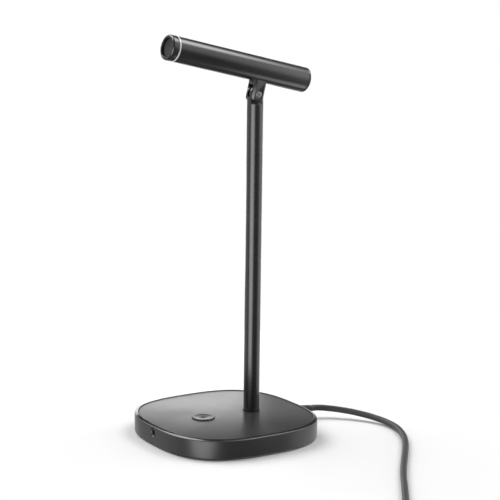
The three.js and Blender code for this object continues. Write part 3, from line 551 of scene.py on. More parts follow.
bright_steel = finish("plated_steel", (0.62, 0.63, 0.64), 0.28, 1.0, grain=0.2, depth=0.003,
                      stretch=(1, 0.15, 1))
lip_x, lip_z = SHELL_HALF_X - SHELL_LIP, SHELL_HALF_Z - SHELL_LIP
shell_sections = [
    (0.01, 0.01, 0.005, GRIP_FRONT), (lip_x, lip_z, 0.45, GRIP_FRONT),
    (SHELL_HALF_X, SHELL_HALF_Z, 0.5, GRIP_FRONT), (SHELL_HALF_X, SHELL_HALF_Z, 0.5, SHELL_FRONT - 0.15),
    (lip_x, lip_z, 0.45, SHELL_FRONT), (BORE_HALF_X, BORE_HALF_Z, 0.3, SHELL_FRONT),
    (BORE_HALF_X, BORE_HALF_Z, 0.3, BORE_BACK), (0.01, 0.01, 0.005, BORE_BACK),
]
shell_rings = [soft_box(*section) for section in shell_sections]
shell = solid("usb_shell", *rings(shell_rings, False), bright_steel, AT_PLUG)
windows = [block("window", (x - WINDOW_HALF, WINDOW_BACK, -3), (x + WINDOW_HALF, WINDOW_FRONT, 3),
                 AT_PLUG) for x in (-WINDOW_X, WINDOW_X)]
carve(shell, *windows)
attach(shell, "stand", "steel", "usb_plug_shell")

tongue_plastic = finish("tongue_plastic", (0.75, 0.74, 0.7), 0.45, grain=0.3, depth=0.004)
gold = finish("gold_plate", (0.85, 0.6, 0.25), 0.25, 1.0, grain=0.3, depth=0.002)
tongue_sections = [
    (0.3, 0.3, TONGUE_BACK), (TONGUE_X - 0.1, TONGUE_Z - 0.1, TONGUE_BACK),
    (TONGUE_X, TONGUE_Z, TONGUE_BACK + 0.2), (TONGUE_X, TONGUE_Z, TONGUE_FRONT - 0.4),
    (TONGUE_X - 0.2, TONGUE_Z - 0.3, TONGUE_FRONT), (0.3, 0.3, TONGUE_FRONT),
]
tongue_rings = [soft_box(half_x, half_z, 0.25, y) for half_x, half_z, y in tongue_sections]
tongue = solid("usb_tongue", *rings(tongue_rings, False), tongue_plastic, AT_PLUG @ at(0, 0, TONGUE_LIFT),
               fill=True)
attach(tongue, "stand", "white_plastic", "usb_plug_tongue")
contact_blocks = []
for x in CONTACTS_AT:
    reach = OUTER_CONTACT_END if abs(x) > 2 else INNER_CONTACT_END
    contact_blocks.append(block("contact", (x - CONTACT_HALF, CONTACT_BACK, -0.12),
                                (x + CONTACT_HALF, reach, 0.02), AT_PLUG, gold))
contacts = contact_blocks[0]
carve(contacts, *contact_blocks[1:], operation="UNION")
contacts.name = "usb_contacts"
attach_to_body(contacts, "stand")


# ---- Foot pad and bottom cover
# A soft rubber pad stuck under a moulded cover. Four sunk screws hold the cover in the housing, and two
# posts on it carry the board.
BASE_HALF = 55
BASE_POWER = 2.8
BASE_SIDES = 320
SCREWS_AT = 38
SCREW_CORNERS = [(x, y) for x in (SCREWS_AT, -SCREWS_AT) for y in (SCREWS_AT, -SCREWS_AT)]
PAD_HALF, PAD_TOP = 45, 1.2
COVER_HALF, COVER_TOP = 51.7, 2.6
POST_X, POST_Y, POST_R, POST_TOP = 19.5, -29, 2.4, 5.1
POSTS_AT = [(POST_X, POST_Y), (-POST_X, POST_Y)]


def rod(name, radius, start, end, matrix, sides=48):
    """A round bar along the matrix's Z axis."""
    profile = [(0, start), (radius, start), (radius, end), (0, end)]
    return turned(name, profile, None, matrix, sides, False)


def square_outline(half, z):
    """The base's rounded square, |x|^n + |y|^n = half^n, at this height."""
    outline = []
    for k in range(BASE_SIDES):
        angle = 2 * math.pi * k / BASE_SIDES
        c, s = math.cos(angle), math.sin(angle)
        reach = half / (abs(c) ** BASE_POWER + abs(s) ** BASE_POWER) ** (1 / BASE_POWER)
        outline.append((reach * c, reach * s, z))
    return outline


def squared(name, profile, material, closed):
    """A profile of (half width, height) carried round the base's outline."""
    return solid(name, *rings([square_outline(half, z) for half, z in profile], closed), material)


def slab_profile(half, bottom, top, radius):
    """The profile of a slab with rounded edges, from the axis round to the axis."""
    corners = [(0, top, 0), (half, top, radius), (half, bottom, radius), (0, bottom, 0)]
    return rounded(corners, 4)


pad_rubber = finish("pad_rubber", (0.017, 0.017, 0.018), 0.85, grain=0.45, depth=0.03, mottle=0.15)
pad = squared("foot_pad_rubber", slab_profile(PAD_HALF, 0, PAD_TOP, 0.35), pad_rubber, False)
attach(pad, "stand", "rubber", "foot_pad")

cover_plastic = finish("cover_plastic", (0.02, 0.02, 0.022), 0.55, grain=0.22, depth=0.02)
cover = squared("bottom_cover", slab_profile(COVER_HALF, PAD_TOP, COVER_TOP, 0.3), cover_plastic, False)
posts = [rod("post", POST_R, COVER_TOP - 0.3, POST_TOP, at(x, y), 32) for x, y in POSTS_AT]
carve(cover, *posts, operation="UNION")
pilots = [rod("pilot", 0.9, COVER_TOP + 0.1, POST_TOP + 0.9, at(x, y), 24) for x, y in POSTS_AT]
SINK_R, SINK_EDGE_R = 3, 3.25
sink_profile = [(0, 3.5), (SINK_R, 3.5), (SINK_R, 1.4), (SINK_EDGE_R, 1.1), (SINK_EDGE_R, 0.5), (0, 0.5)]
sinks = [turned("sink", sink_profile, None, at(x, y), 48, False) for x, y in SCREW_CORNERS]
carve(cover, *pilots, *sinks)
attach(cover, "stand", "black_plastic", "base_bottom_cover")


# ---- Screws of the cover and the board
# Pan-head steel screws with a cross recess, driven at the corners of a rectangle: four under the base
# and two on the board.
screw_steel = finish("screw_steel", (0.44, 0.44, 0.45), 0.4, 0.9, grain=0.15, depth=0.004,
                     worn=(0.6, 0.6, 0.61))


CROWN = 0.55
RECESS_ARM, RECESS_HALF, RECESS_FLOOR = 0.62, 0.17, 0.3


def cross_screw(name, head_r, head_height, shank_r, length, matrix=Matrix()):
    """A pan-head screw that points down, its seat at the origin and its head above.

    The head's crown and its cross recess are shares of its radius and height.
    """
    profile = rounded([
        (0, head_height, 0), (head_r * CROWN, head_height, head_r),
        (head_r, head_height * CROWN, head_r * 0.3), (head_r, 0, 0.08), (shank_r, 0, 0),
        (shank_r, shank_r * 0.6 - length, 0), (0, -length, 0)])
    screw = turned(name, profile, screw_steel, matrix, 40, False)
    arm, half = head_r * RECESS_ARM, head_r * RECESS_HALF
    low, high = head_height * RECESS_FLOOR, head_height + 1
    arms = [block("arm", (-x, -y, low), (x, y, high), matrix) for x, y in ((arm, half), (half, arm))]
    return carve(screw, *arms)


def set_inputs(modifier, values):
    """Sets a node modifier's inputs by the identifiers of the sockets with these names."""
    for item in modifier.node_group.interface.items_tree:
        if item.item_type == "SOCKET" and item.in_out == "INPUT" and item.name in values:
            modifier[item.identifier] = values[item.name]


def new_tree(name, kinds):
    """A geometry node tree with these named inputs beside its geometry, and its two group nodes."""
    tree = bpy.data.node_groups.new(name, "GeometryNodeTree")
    tree.interface.new_socket(name="Geometry", in_out="INPUT", socket_type="NodeSocketGeometry")
    tree.interface.new_socket(name="Geometry", in_out="OUTPUT", socket_type="NodeSocketGeometry")
    for label, kind in kinds.items():
        tree.interface.new_socket(name=label, in_out="INPUT", socket_type=f"NodeSocket{kind}")
    return tree, tree.nodes.new("NodeGroupInput"), tree.nodes.new("NodeGroupOutput")


def end_tree(tree, geometry, material, out):
    """Realises the instances, sets the material, and joins the tree to its output."""
    real = tree.nodes.new("GeometryNodeRealizeInstances")
    painted = tree.nodes.new("GeometryNodeSetMaterial")
    painted.inputs["Material"].default_value = material
    tree.links.new(geometry, real.inputs["Geometry"])
    tree.links.new(real.outputs["Geometry"], painted.inputs["Geometry"])
    tree.links.new(painted.outputs["Geometry"], out.inputs[0])


pattern, given, out = new_tree("screw_pattern", {"Width": "Float", "Depth": "Float", "Columns": "Int",
                                                 "Rows": "Int", "Place": "Vector"})
lattice = pattern.nodes.new("GeometryNodeMeshGrid")
for label, socket in (("Width", "Size X"), ("Depth", "Size Y"), ("Columns", "Vertices X"),
                      ("Rows", "Vertices Y")):
    pattern.links.new(given.outputs[label], lattice.inputs[socket])
shifted = pattern.nodes.new("GeometryNodeSetPosition")
pattern.links.new(lattice.outputs["Mesh"], shifted.inputs["Geometry"])
pattern.links.new(given.outputs["Place"], shifted.inputs["Offset"])
copies = pattern.nodes.new("GeometryNodeInstanceOnPoints")
pattern.links.new(shifted.outputs["Geometry"], copies.inputs["Points"])
pattern.links.new(given.outputs["Geometry"], copies.inputs["Instance"])
end_tree(pattern, copies.outputs["Instances"], screw_steel, out)


def screw_set(screw, width, depth, columns, rows, place, nodes):
    """Copies a screw over a lattice of points about a place, in millimetres, as one piece."""
    modifier = screw.modifiers.new("pattern", "NODES")
    modifier.node_group = pattern
    set_inputs(modifier, {"Width": width * MM, "Depth": depth * MM, "Columns": columns, "Rows": rows,
                          "Place": [value * MM for value in place]})
    settle(screw)
    return attach(screw, "stand", "steel", *nodes)


UPSIDE_DOWN = Matrix.Rotation(math.pi, 4, "X")
COVER_SEAT, BOARD_TOP = 2.45, 6.72
cover_screw = cross_screw("cover_screws", 2.75, 1.1, 1.1, 6.4, UPSIDE_DOWN)
screw_set(cover_screw, 2 * SCREWS_AT, 2 * SCREWS_AT, 2, 2, (0, 0, COVER_SEAT),
          [f"cover_screw_{i}" for i in (1, 2, 3, 4)])
board_screw = cross_screw("board_screws", 2, 1.15, 0.8, 3.6)
screw_set(board_screw, 2 * POST_X, 1, 2, 1, (0, POST_Y, BOARD_TOP), ["board_screw_1", "board_screw_2"])


# ---- Base housing
# Machined aluminium ring, bead-blasted and anodised dark grey, with a smooth bevel cut round its rim. A
# ledge inside carries the top plate, and two bores pass the headphone socket and the cable.
BEVEL_FOOT, RIM_TOP = 12.8, 13.8
PLATE_BOTTOM, PLATE_TOP = 11.9, 13.3
RIM_HALF, WALL_HALF = 52.7, 52
LEDGE_HALF, LEDGE_BOTTOM = 49.5, 10.4
SCREW_BOSS_R, SCREW_BOSS_TOP, SCREW_PILOT_R, SCREW_PILOT_TOP = 4, 10.9, 1.2, 9.4
SOCKET_Z, SOCKET_SEAT_R, SOCKET_BORE_R, SOCKET_SEAT_Y = 9.2, 3.1, 2.7, 54.5
CABLE_HOLE_R = 3.05
BEVEL_RISE = math.sin(math.atan2(BASE_HALF - RIM_HALF, RIM_TOP - BEVEL_FOOT))
SAME_SLOPE = 0.03
WORN_GREY = (0.3, 0.3, 0.31)
housing_paint = finish("satin_grey", (0.105, 0.106, 0.108), 0.34, 0.85, grain=0.16, depth=0.004,
                       mottle=0.05, drift=0.1, worn=WORN_GREY, wear=0.12)
cut_metal = finish("cut_bevel", (0.1, 0.101, 0.103), 0.14, 0.9, grain=0.1, depth=0.0008, mottle=0.03)
housing_profile = rounded([
    (BASE_HALF, PAD_TOP, 0.4), (BASE_HALF, BEVEL_FOOT, 0.7), (RIM_HALF, RIM_TOP, 0.25),
    (RIM_HALF, PLATE_BOTTOM, 0), (LEDGE_HALF, PLATE_BOTTOM, 0.2), (LEDGE_HALF, LEDGE_BOTTOM, 0.2),
    (WALL_HALF, LEDGE_BOTTOM, 0.3), (WALL_HALF, PAD_TOP, 0.2)])
housing = squared("housing_ring", housing_profile, housing_paint, True)
bosses = [rod("boss", SCREW_BOSS_R, COVER_TOP + 0.1, SCREW_BOSS_TOP, at(x, y), 40)
          for x, y in SCREW_CORNERS]
carve(housing, *bosses, operation="UNION")
socket_bore = [(0, -60), (SOCKET_SEAT_R, -60), (SOCKET_SEAT_R, -SOCKET_SEAT_Y - 0.4),
               (SOCKET_BORE_R, -SOCKET_SEAT_Y), (SOCKET_BORE_R, -49), (0, -49)]
drills = [
    turned("bore", socket_bore, None, at(0, 0, SOCKET_Z) @ ALONG_Y, 64, False),
    rod("bore", CABLE_HOLE_R, 49, 60, at(0, 0, CABLE_Z) @ ALONG_Y),
    block("notch", (-3.6, -53, 6.7), (3.6, -44, PLATE_BOTTOM)),
]
drills += [rod("pilot", SCREW_PILOT_R, 0, SCREW_PILOT_TOP, at(x, y), 24) for x, y in SCREW_CORNERS]
carve(housing, *drills)
housing.data.materials.append(cut_metal)
for face in housing.data.polygons:
    if face.center.z > BEVEL_FOOT * MM and abs(face.normal.z - BEVEL_RISE) < SAME_SLOPE:
        face.material_index = 1
attach(housing, "stand", "housing_paint", "base_housing")


# ---- Headphone socket
# Dark ring with a rounded lip, pressed just inside the face of the side wall, in front of the socket's
# body. Two plated springs lie in its bore.
AT_SOCKET = at(0, 0, SOCKET_Z) @ ALONG_Y
FERRULE_R, FERRULE_BORE_R, FERRULE_FRONT, FERRULE_BACK = 2.52, 1.85, -54.75, -51.75
SPRING_INNER, SPRING_OUTER, SPRING_HALF, SPRING_FRONT, SPRING_BACK = 1.25, 1.72, 0.5, -50.6, -44
socket_black = finish("socket_black", (0.075, 0.075, 0.077), 0.4, 0.4, grain=0.3, depth=0.004)
ferrule_profile = rounded([(FERRULE_BORE_R, FERRULE_FRONT, 0.3), (FERRULE_R, FERRULE_FRONT, 0.3),
                           (FERRULE_R, FERRULE_BACK, 0), (FERRULE_BORE_R, FERRULE_BACK, 0)])
ferrule = turned("socket_ring", ferrule_profile, socket_black, AT_SOCKET, 64)
attach(ferrule, "stand", "black_plastic", "jack_ferrule")
springs = []
for side in (-1, 1):
    low, high = sorted((side * SPRING_INNER, side * SPRING_OUTER))
    springs.append(block("spring", (low, SPRING_FRONT, -SPRING_HALF), (high, SPRING_BACK, SPRING_HALF),
                         at(0, 0, SOCKET_Z), gold))
carve(springs[0], springs[1], operation="UNION")
springs[0].name = "socket_springs"
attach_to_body(springs[0], "stand")


# ---- Mute button
# Machined cap with a dished top and a bright edge, and a printed microphone symbol in its middle. A
# flange under the plate keeps it in.
BUTTON_Y = -17.1
BUTTON_R, BUTTON_TOP = 7.35, 14
DISH_R, DISH_DEPTH, DISH_STEPS = 6.5, 0.4, 12
FLANGE_R, FLANGE_BOTTOM, FLANGE_TOP = 9, 11, 11.8
cap_metal = finish("button_metal", (0.095, 0.096, 0.098), 0.34, 0.88, grain=0.14, depth=0.003,
                   mottle=0.05, worn=(0.35, 0.35, 0.36), wear=0.45)


def dish_height(radius):
    """Height of the cap's hollow at this distance from its middle."""
    return BUTTON_TOP - DISH_DEPTH * (1 - (radius / DISH_R) ** 2)


dish_steps = [DISH_R * i / DISH_STEPS for i in range(DISH_STEPS + 1)]
cap_profile = [(radius, dish_height(radius)) for radius in dish_steps]
cap_profile += rounded([(DISH_R + 0.1, BUTTON_TOP, 0), (BUTTON_R, BUTTON_TOP, 0.35),
                        (BUTTON_R, FLANGE_TOP, 0.1), (FLANGE_R, FLANGE_TOP, 0.1),
                        (FLANGE_R, FLANGE_BOTTOM, 0.1)])
cap_profile.append((0, FLANGE_BOTTOM))
cap = turned("mute_cap", cap_profile, cap_metal, at(0, BUTTON_Y), 128, False)
attach(cap, "button", "anodised", "mute_button")

symbol_ink = finish("symbol_ink", (0.012, 0.012, 0.013), 0.6, grain=0.1, depth=0.002)
SYMBOL_LINE = 0.6
SYMBOL_SIZE = 1.35


def stroke(points, name="stroke"):
    """A flat printed line through these points, seen from above, on the cap's hollow."""
    points = [SYMBOL_SIZE * Vector(point) for point in points]
    top, bottom = dish_height(SYMBOL_SIZE) + 0.07, dish_height(0) - 0.1
    left, right = [], []
    for i, point in enumerate(points):
        along = (points[min(i + 1, len(points) - 1)] - points[max(i - 1, 0)]).normalized()
        across = Vector((-along.y, along.x)) * SYMBOL_LINE / 2
        left.append(point + across)
        right.append(point - across)
    outline = left + right[::-1]
    vertices = [(x, y, z) for z in (bottom, top) for x, y in outline]
    count = len(outline)
    faces = [(k, (k + 1) % count, count + (k + 1) % count, count + k) for k in range(count)]
    half = len(points)
    for level in (0, count):
        last = level + count - 1
        faces += [(level + k, level + k + 1, last - 1 - k, last - k) for k in range(half - 1)]
    return solid(name, vertices, faces, symbol_ink, at(0, BUTTON_Y))


CRADLE_R, CRADLE_Y, FOOT_HALF, FOOT_Y = 1.25, 0.2, 0.75, -1.8
HEAD_HALF, HEAD_LOW, HEAD_HIGH = 0.55, -0.6, 1.7
cradle_turns = [math.pi * (1 + k / 16) for k in range(17)]
cradle = [(CRADLE_R * math.cos(a), CRADLE_Y + CRADLE_R * math.sin(a)) for a in cradle_turns]
capsule = rounded([(-HEAD_HALF, HEAD_HIGH, 0.5), (-HEAD_HALF, HEAD_LOW, 0.5), (HEAD_HALF, HEAD_LOW, 0.5),
                   (HEAD_HALF, HEAD_HIGH, 0.5)], 6)
symbol = stroke(cradle, "mute_symbol")
carve(symbol, stroke(capsule + capsule[:1]), stroke([(0, -1), (0, FOOT_Y)]),
      stroke([(-FOOT_HALF, FOOT_Y), (FOOT_HALF, FOOT_Y)]), operation="UNION")
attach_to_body(symbol, "button")


# ---- Top plate
# Aluminium plate let into the rim with a fine groove all round, finished as the ring is. The button
# stands in its front hole, and a boss below its back hole takes the pole's stud.
POLE_Y = 20.1
AT_POLE = at(0, POLE_Y)
PLATE_GAP = 0.3
POLE_BOSS_R, POLE_BOSS_BOTTOM, STUD_HOLE_R = 8, 8.9, 3.7
BUTTON_HOLE_R, HOLE_EDGE = 7.65, 0.25
plate_profile = slab_profile(RIM_HALF - PLATE_GAP, PLATE_BOTTOM, PLATE_TOP, 0.18)
plate = squared("top_plate", plate_profile, housing_paint, False)
boss = rod("boss", POLE_BOSS_R, POLE_BOSS_BOTTOM, PLATE_BOTTOM + 0.5, AT_POLE, 64)
carve(plate, boss, operation="UNION")
button_hole = [(0, 11), (BUTTON_HOLE_R, 11), (BUTTON_HOLE_R, PLATE_TOP - 0.12),
               (BUTTON_HOLE_R + HOLE_EDGE, PLATE_TOP + 0.13), (0, PLATE_TOP + 0.13)]
carve(plate, turned("hole", button_hole, None, at(0, BUTTON_Y), 128, False),
      rod("hole", STUD_HOLE_R, 8, 14, AT_POLE))
attach(plate, "stand", "housing_paint", "base_top_plate")


# ---- Pole
# Drawn aluminium tube, anodised grey, that stands on a thin black plastic ring. Its top edge is
# rounded off on both sides of the tongue, and runs straight up into it at the front and back.
POLE_R, POLE_BORE_R = 5.25, 3.65
COLLAR_R, COLLAR_TOP, SHOULDER_Z = 5.55, 14.4, 217.5
TONGUE_HALF = 2.6
POLE_ROUND, EDGE_CLEAR = 0.55, 0.4
collar_black = finish("collar_black", (0.006, 0.006, 0.007), 0.35, grain=0.3, depth=0.004)
collar_profile = rounded([(STUD_HOLE_R, PLATE_TOP, 0), (COLLAR_R, PLATE_TOP, 0.1),
                          (COLLAR_R, COLLAR_TOP, 0.3), (STUD_HOLE_R, COLLAR_TOP, 0)])
collar = turned("pole_ring", collar_profile, collar_black, AT_POLE)
attach(collar, "stand", "black_plastic", "pole_collar")

pole_grey = finish("anodised_grey", (0.13, 0.131, 0.134), 0.27, 0.95, grain=0.2, depth=0.0005,
                   mottle=0.04, drift=0.03, stretch=(1, 1, 0.02), worn=WORN_GREY, wear=0.25)
pole_profile = rounded([(POLE_BORE_R, COLLAR_TOP, 0.1), (POLE_R, COLLAR_TOP, 0.15),
                        (POLE_R, SHOULDER_Z, 0), (POLE_BORE_R, SHOULDER_Z, 0)])
pole = turned("pole", pole_profile, pole_grey, AT_POLE, 128)
round_r, round_z = POLE_R - POLE_ROUND, SHOULDER_Z - POLE_ROUND
edge_turns = [math.pi / 2 * k / 6 for k in range(7)]
edge_profile = [(round_r + POLE_ROUND * math.sin(a), round_z + POLE_ROUND * math.cos(a))
                for a in edge_turns]
edge_profile += [(POLE_R + EDGE_CLEAR, round_z), (POLE_R + EDGE_CLEAR, SHOULDER_Z + EDGE_CLEAR),
                 (round_r, SHOULDER_Z + EDGE_CLEAR)]
edge_cutter = turned("edge_cutter", edge_profile, None, AT_POLE, 128)
carve(edge_cutter, block("keep", (-TONGUE_HALF, 0, 210), (TONGUE_HALF, 40, 225)))
carve(pole, edge_cutter)
attach(pole, "stand", "anodised", "pole_tube")


# ---- Hinge: tongue, washers and screws
# The tongue is milled from the same bar as the pole, rounded about the tilt axis and slotted for the
# lead. Two short screws with friction washers clamp the fork's cheeks to it.
PIVOT_Z = 223.2
AT_PIVOT = at(0, POLE_Y, PIVOT_Z)
ALONG_X = Matrix.Rotation(math.radians(90), 4, "Y")
EDGE_STEPS = 16
TONGUE_EDGE = 0.3
LEAD_BORE_R, LEAD_SLOT_HALF, BOLT_BORE_R = 1.5, 1.2, 1.33
WASHER_R, WASHER_BORE_R, WASHER_INNER, WASHER_OUTER = 4.4, 1.4, 2.63, 2.9
BOLT_HEAD_R, BOLT_HEAD, BOLT_R, BOLT_LENGTH, BOLT_SEAT = 2.1, 1.1, 1.25, 2.65, 3.95


def stadium(name, half_x, radius, top, matrix):
    """A block across X that ends below in a half round about the origin, and reaches up to top."""
    outline = [(radius * math.sin(a), -radius * math.cos(a)) for a in
               [math.pi / 2 * (k / 24 - 1) for k in range(49)]]
    outline += [(radius, top), (-radius, top)]
    sides = [[(x, y, z) for y, z in outline] for x in (-half_x, half_x)]
    return solid(name, *rings(sides, False), None, matrix, fill=True)


flat_y = math.sqrt(POLE_R ** 2 - TONGUE_HALF ** 2)
soft = math.asin((TONGUE_HALF - 0.22) / POLE_R)
tongue_outline = []
for way in (1, -1):
    tongue_outline.append((way * TONGUE_HALF, -way * (flat_y - TONGUE_EDGE)))
    tongue_outline.append((way * TONGUE_HALF, way * (flat_y - TONGUE_EDGE)))
    for k in range(EDGE_STEPS + 1):
        a = soft - 2 * soft * k / EDGE_STEPS
        tongue_outline.append((way * POLE_R * math.sin(a), way * POLE_R * math.cos(a)))
tongue_ends = [[(x, y, z) for x, y in tongue_outline] for z in (SHOULDER_Z, 230)]
knuckle = solid("hinge_tongue", *rings(tongue_ends, False), pole_grey, AT_POLE, fill=True)
carve(knuckle, stadium("end", 6, POLE_R, 20, AT_PIVOT @ UPSIDE_DOWN), operation="INTERSECT")
carve(knuckle, rod("plug", POLE_BORE_R - 0.1, 200, SHOULDER_Z + 0.2, AT_POLE), operation="UNION")
carve(knuckle, rod("bore", LEAD_BORE_R, 190, PIVOT_Z, AT_POLE, 32),
      block("slot", (-LEAD_SLOT_HALF, 0, PIVOT_Z - 1.6), (LEAD_SLOT_HALF, 40, PIVOT_Z + 10)),
      rod("cross", BOLT_BORE_R, -8, 8, AT_PIVOT @ ALONG_X, 40))
attach(knuckle, "stand", "anodised", "hinge_knuckle")

washer_steel = finish("washer_steel", (0.2, 0.2, 0.205), 0.3, 1.0, grain=0.15, depth=0.004)
washer_profile = rounded([(WASHER_BORE_R, WASHER_INNER, 0), (WASHER_R, WASHER_INNER, 0.06),
                          (WASHER_R, WASHER_OUTER, 0.06), (WASHER_BORE_R, WASHER_OUTER, 0)])
for hand, side in (("right", 1), ("left", -1)):
    outward = AT_PIVOT @ Matrix.Rotation(math.radians(90 * side), 4, "Y")
    washer = turned(f"hinge_washer_{hand}", washer_profile, washer_steel, outward, 64)
    attach(washer, "stand", "steel", f"friction_washer_{hand}")
    bolt = cross_screw(f"hinge_bolt_{hand}", BOLT_HEAD_R, BOLT_HEAD, BOLT_R, BOLT_LENGTH,
                       outward @ at(0, 0, BOLT_SEAT))
    attach(bolt, "stand", "steel", f"hinge_screw_{hand}")


# ---- Fork
# Turned from bar a little thicker than the pole, milled flat on its sides and slotted for the tongue,
# with round cheek ends. Its saddle fits the tube, and its stem goes through the tube's wall to a nut.
TILT = math.radians(13.3)
HEAD = AT_PIVOT @ Matrix.Rotation(-TILT, 4, "X")
FORK_R, FORK_FLAT, CHEEK_R = 5.6, 4.65, 5.2
SLOT_HALF, SLOT_TOP = 2.95, 5.55
SINK_FLOOR, HEAD_SINK_R, SHANK_HOLE_R = 3.9, 2.35, 1.37
STEM_R, STEM_TOP = 2.9, 12.9
FORK_EDGE = 0.22
TUBE_AXIS, TUBE_R, TUBE_BORE_R = 15.96, 8.17, 7.2
ON_TUBE = HEAD @ at(0, 0, TUBE_AXIS) @ ALONG_Y
fork = rod("tilt_fork", FORK_R, -FORK_R, TUBE_AXIS, HEAD, 128)
fork.data.materials.append(pole_grey)
carve(fork, stadium("end", FORK_FLAT, CHEEK_R, TUBE_AXIS, HEAD), operation="INTERSECT")
carve(fork, block("slot", (-SLOT_HALF, -10, -10), (SLOT_HALF, 10, SLOT_TOP), HEAD),
      rod("saddle", TUBE_R + 0.12, -20, 20, ON_TUBE, 128),
      rod("sink", HEAD_SINK_R, SINK_FLOOR, 10, HEAD @ ALONG_X),
      rod("sink", HEAD_SINK_R, -10, -SINK_FLOOR, HEAD @ ALONG_X),
      rod("cross", SHANK_HOLE_R, -10, 10, HEAD @ ALONG_X))
edges = fork.modifiers.new("edges", "BEVEL")
edges.width = FORK_EDGE * MM
edges.segments = 2
edges.limit_method = "ANGLE"
edges.angle_limit = math.radians(40)
edges.use_clamp_overlap = True
settle(fork)
carve(fork, rod("stem", STEM_R, SLOT_TOP + 0.5, STEM_TOP, HEAD), operation="UNION")
carve(fork, rod("bore", LEAD_BORE_R, 0, TUBE_AXIS, HEAD, 32))
attach(fork, "head", "anodised", "hinge_fork")


# ---- Microphone tube, ring, nose cap and rear cap
# Anodised tube with a polished ring pressed between it and the nose cap. The cap's mouth is deep and
# round-edged, and the rear cap closes the other end with a fine seam.
TUBE_FRONT, TUBE_BACK = -65.7, 33.2
RING_FRONT, NOSE_TIP, TAIL_TIP = -66.7, -71.4, 35.2
RING_R, RING_BORE_R, SEAM = 8.27, 7.18, 0.06
PLUG_R = 7.08
tube_grey = finish("anodised_tube", (0.13, 0.131, 0.134), 0.25, 0.95, grain=0.2, depth=0.0015,
                   mottle=0.04, drift=0.08, stretch=(1, 0.08, 0.3), worn=WORN_GREY, wear=0.4)
tube_profile = rounded([(TUBE_BORE_R, TUBE_FRONT, 0.1), (TUBE_R, TUBE_FRONT, 0.12),
                        (TUBE_R, TUBE_BACK, 0.12), (TUBE_BORE_R, TUBE_BACK, 0.1)])
tube = turned("mic_barrel", tube_profile, tube_grey, ON_TUBE, 160)
carve(tube, rod("hole", STEM_R + 0.2, 0, TUBE_AXIS, HEAD))
attach(tube, "head", "anodised", "mic_tube")

chrome = finish("polished_ring", (0.82, 0.82, 0.83), 0.3, 0.35, grain=0.2, depth=0.0008, mottle=0.02)
ring_front, ring_back = RING_FRONT + SEAM, TUBE_FRONT - SEAM
ring_profile = rounded([(RING_BORE_R, ring_front, 0), (RING_R, ring_front, 0.14),
                        (RING_R, ring_back, 0.14), (RING_BORE_R, ring_back, 0)])
ring = turned("nose_ring", ring_profile, chrome, ON_TUBE, 160)
attach(ring, "head", "polished_ring", "accent_ring")

NOSE_BORE_R, NOSE_BACK = 6.15, -60
GRILLE_LEDGE_R, LEDGE_FRONT, LEDGE_BACK = 5.6, -69.2, -67.6
nose_profile = rounded([
    (NOSE_BORE_R, NOSE_TIP, 0.3), (TUBE_R, NOSE_TIP, 1.3), (TUBE_R, RING_FRONT, 0.05),
    (PLUG_R, RING_FRONT, 0), (PLUG_R, NOSE_BACK, 0.2), (NOSE_BORE_R, NOSE_BACK, 0),
    (NOSE_BORE_R, LEDGE_BACK, 0), (GRILLE_LEDGE_R, LEDGE_BACK, 0), (GRILLE_LEDGE_R, LEDGE_FRONT, 0),
    (NOSE_BORE_R, LEDGE_FRONT, 0)], 8)
nose = turned("nose_shell", nose_profile, tube_grey, ON_TUBE, 160)
attach(nose, "head", "anodised", "nose_cap")

TAIL_BORE_R, TAIL_FRONT = 6, 28
tail_seam = TUBE_BACK + SEAM
tail_profile = rounded([
    (0, TUBE_BACK, 0), (TAIL_BORE_R, TUBE_BACK, 0.2), (TAIL_BORE_R, TAIL_FRONT, 0),
    (PLUG_R, TAIL_FRONT, 0.2), (PLUG_R, tail_seam, 0), (TUBE_R, tail_seam, 0.05),
    (TUBE_R, TAIL_TIP, 0.7), (0, TAIL_TIP, 0)], 6)
tail = turned("tail_cap", tail_profile, tube_grey, ON_TUBE, 160, False)
attach(tail, "head", "anodised", "rear_cap")


# ---- Grille
# Plain weave of fine blackened wire in front of dark foam, set back in the nose cap's mouth and turned
# so that its wires run aslant.
WEAVE_R, WEAVE_PITCH, WIRE_R = 6.02, 0.92, 0.17
WIRES, STEPS_PER_PITCH = 15, 4
GRILLE_FACE, WEAVE_SLANT = -69.8, 40
weave_black = finish("woven_wire", (0.21, 0.21, 0.213), 0.42, 0.9, grain=0.1, depth=0.002)
weave, given, out = new_tree("woven_wire", {"Radius": "Float", "Pitch": "Float", "Wire": "Float"})


def number(operation, *values):
    """The output of a sum on numbers or other outputs, in the weave's tree."""
    node = weave.nodes.new("ShaderNodeMath")
    node.operation = operation
    for socket, value in zip(node.inputs, values):
        if isinstance(value, bpy.types.NodeSocket):
            weave.links.new(value, socket)
        else:
            socket.default_value = value
    return node.outputs["Value"]


span = number("MULTIPLY", given.outputs["Pitch"], WIRES - 1)
sheet = weave.nodes.new("GeometryNodeMeshLine")
sheet.inputs["Count"].default_value = WIRES
start = weave.nodes.new("ShaderNodeCombineXYZ")
weave.links.new(number("MULTIPLY", span, -0.5), start.inputs["Y"])
weave.links.new(start.outputs["Vector"], sheet.inputs["Start Location"])
between = weave.nodes.new("ShaderNodeCombineXYZ")
weave.links.new(given.outputs["Pitch"], between.inputs["Y"])
weave.links.new(between.outputs["Vector"], sheet.inputs["Offset"])
strand = weave.nodes.new("GeometryNodeCurvePrimitiveLine")
for end, share in (("Start", -0.5), ("End", 0.5)):
    tip = weave.nodes.new("ShaderNodeCombineXYZ")
    weave.links.new(number("MULTIPLY", span, share), tip.inputs["X"])
    weave.links.new(tip.outputs["Vector"], strand.inputs[end])
dense = weave.nodes.new("GeometryNodeResampleCurve")
dense.inputs["Count"].default_value = (WIRES - 1) * STEPS_PER_PITCH + 1
weave.links.new(strand.outputs["Curve"], dense.inputs["Curve"])
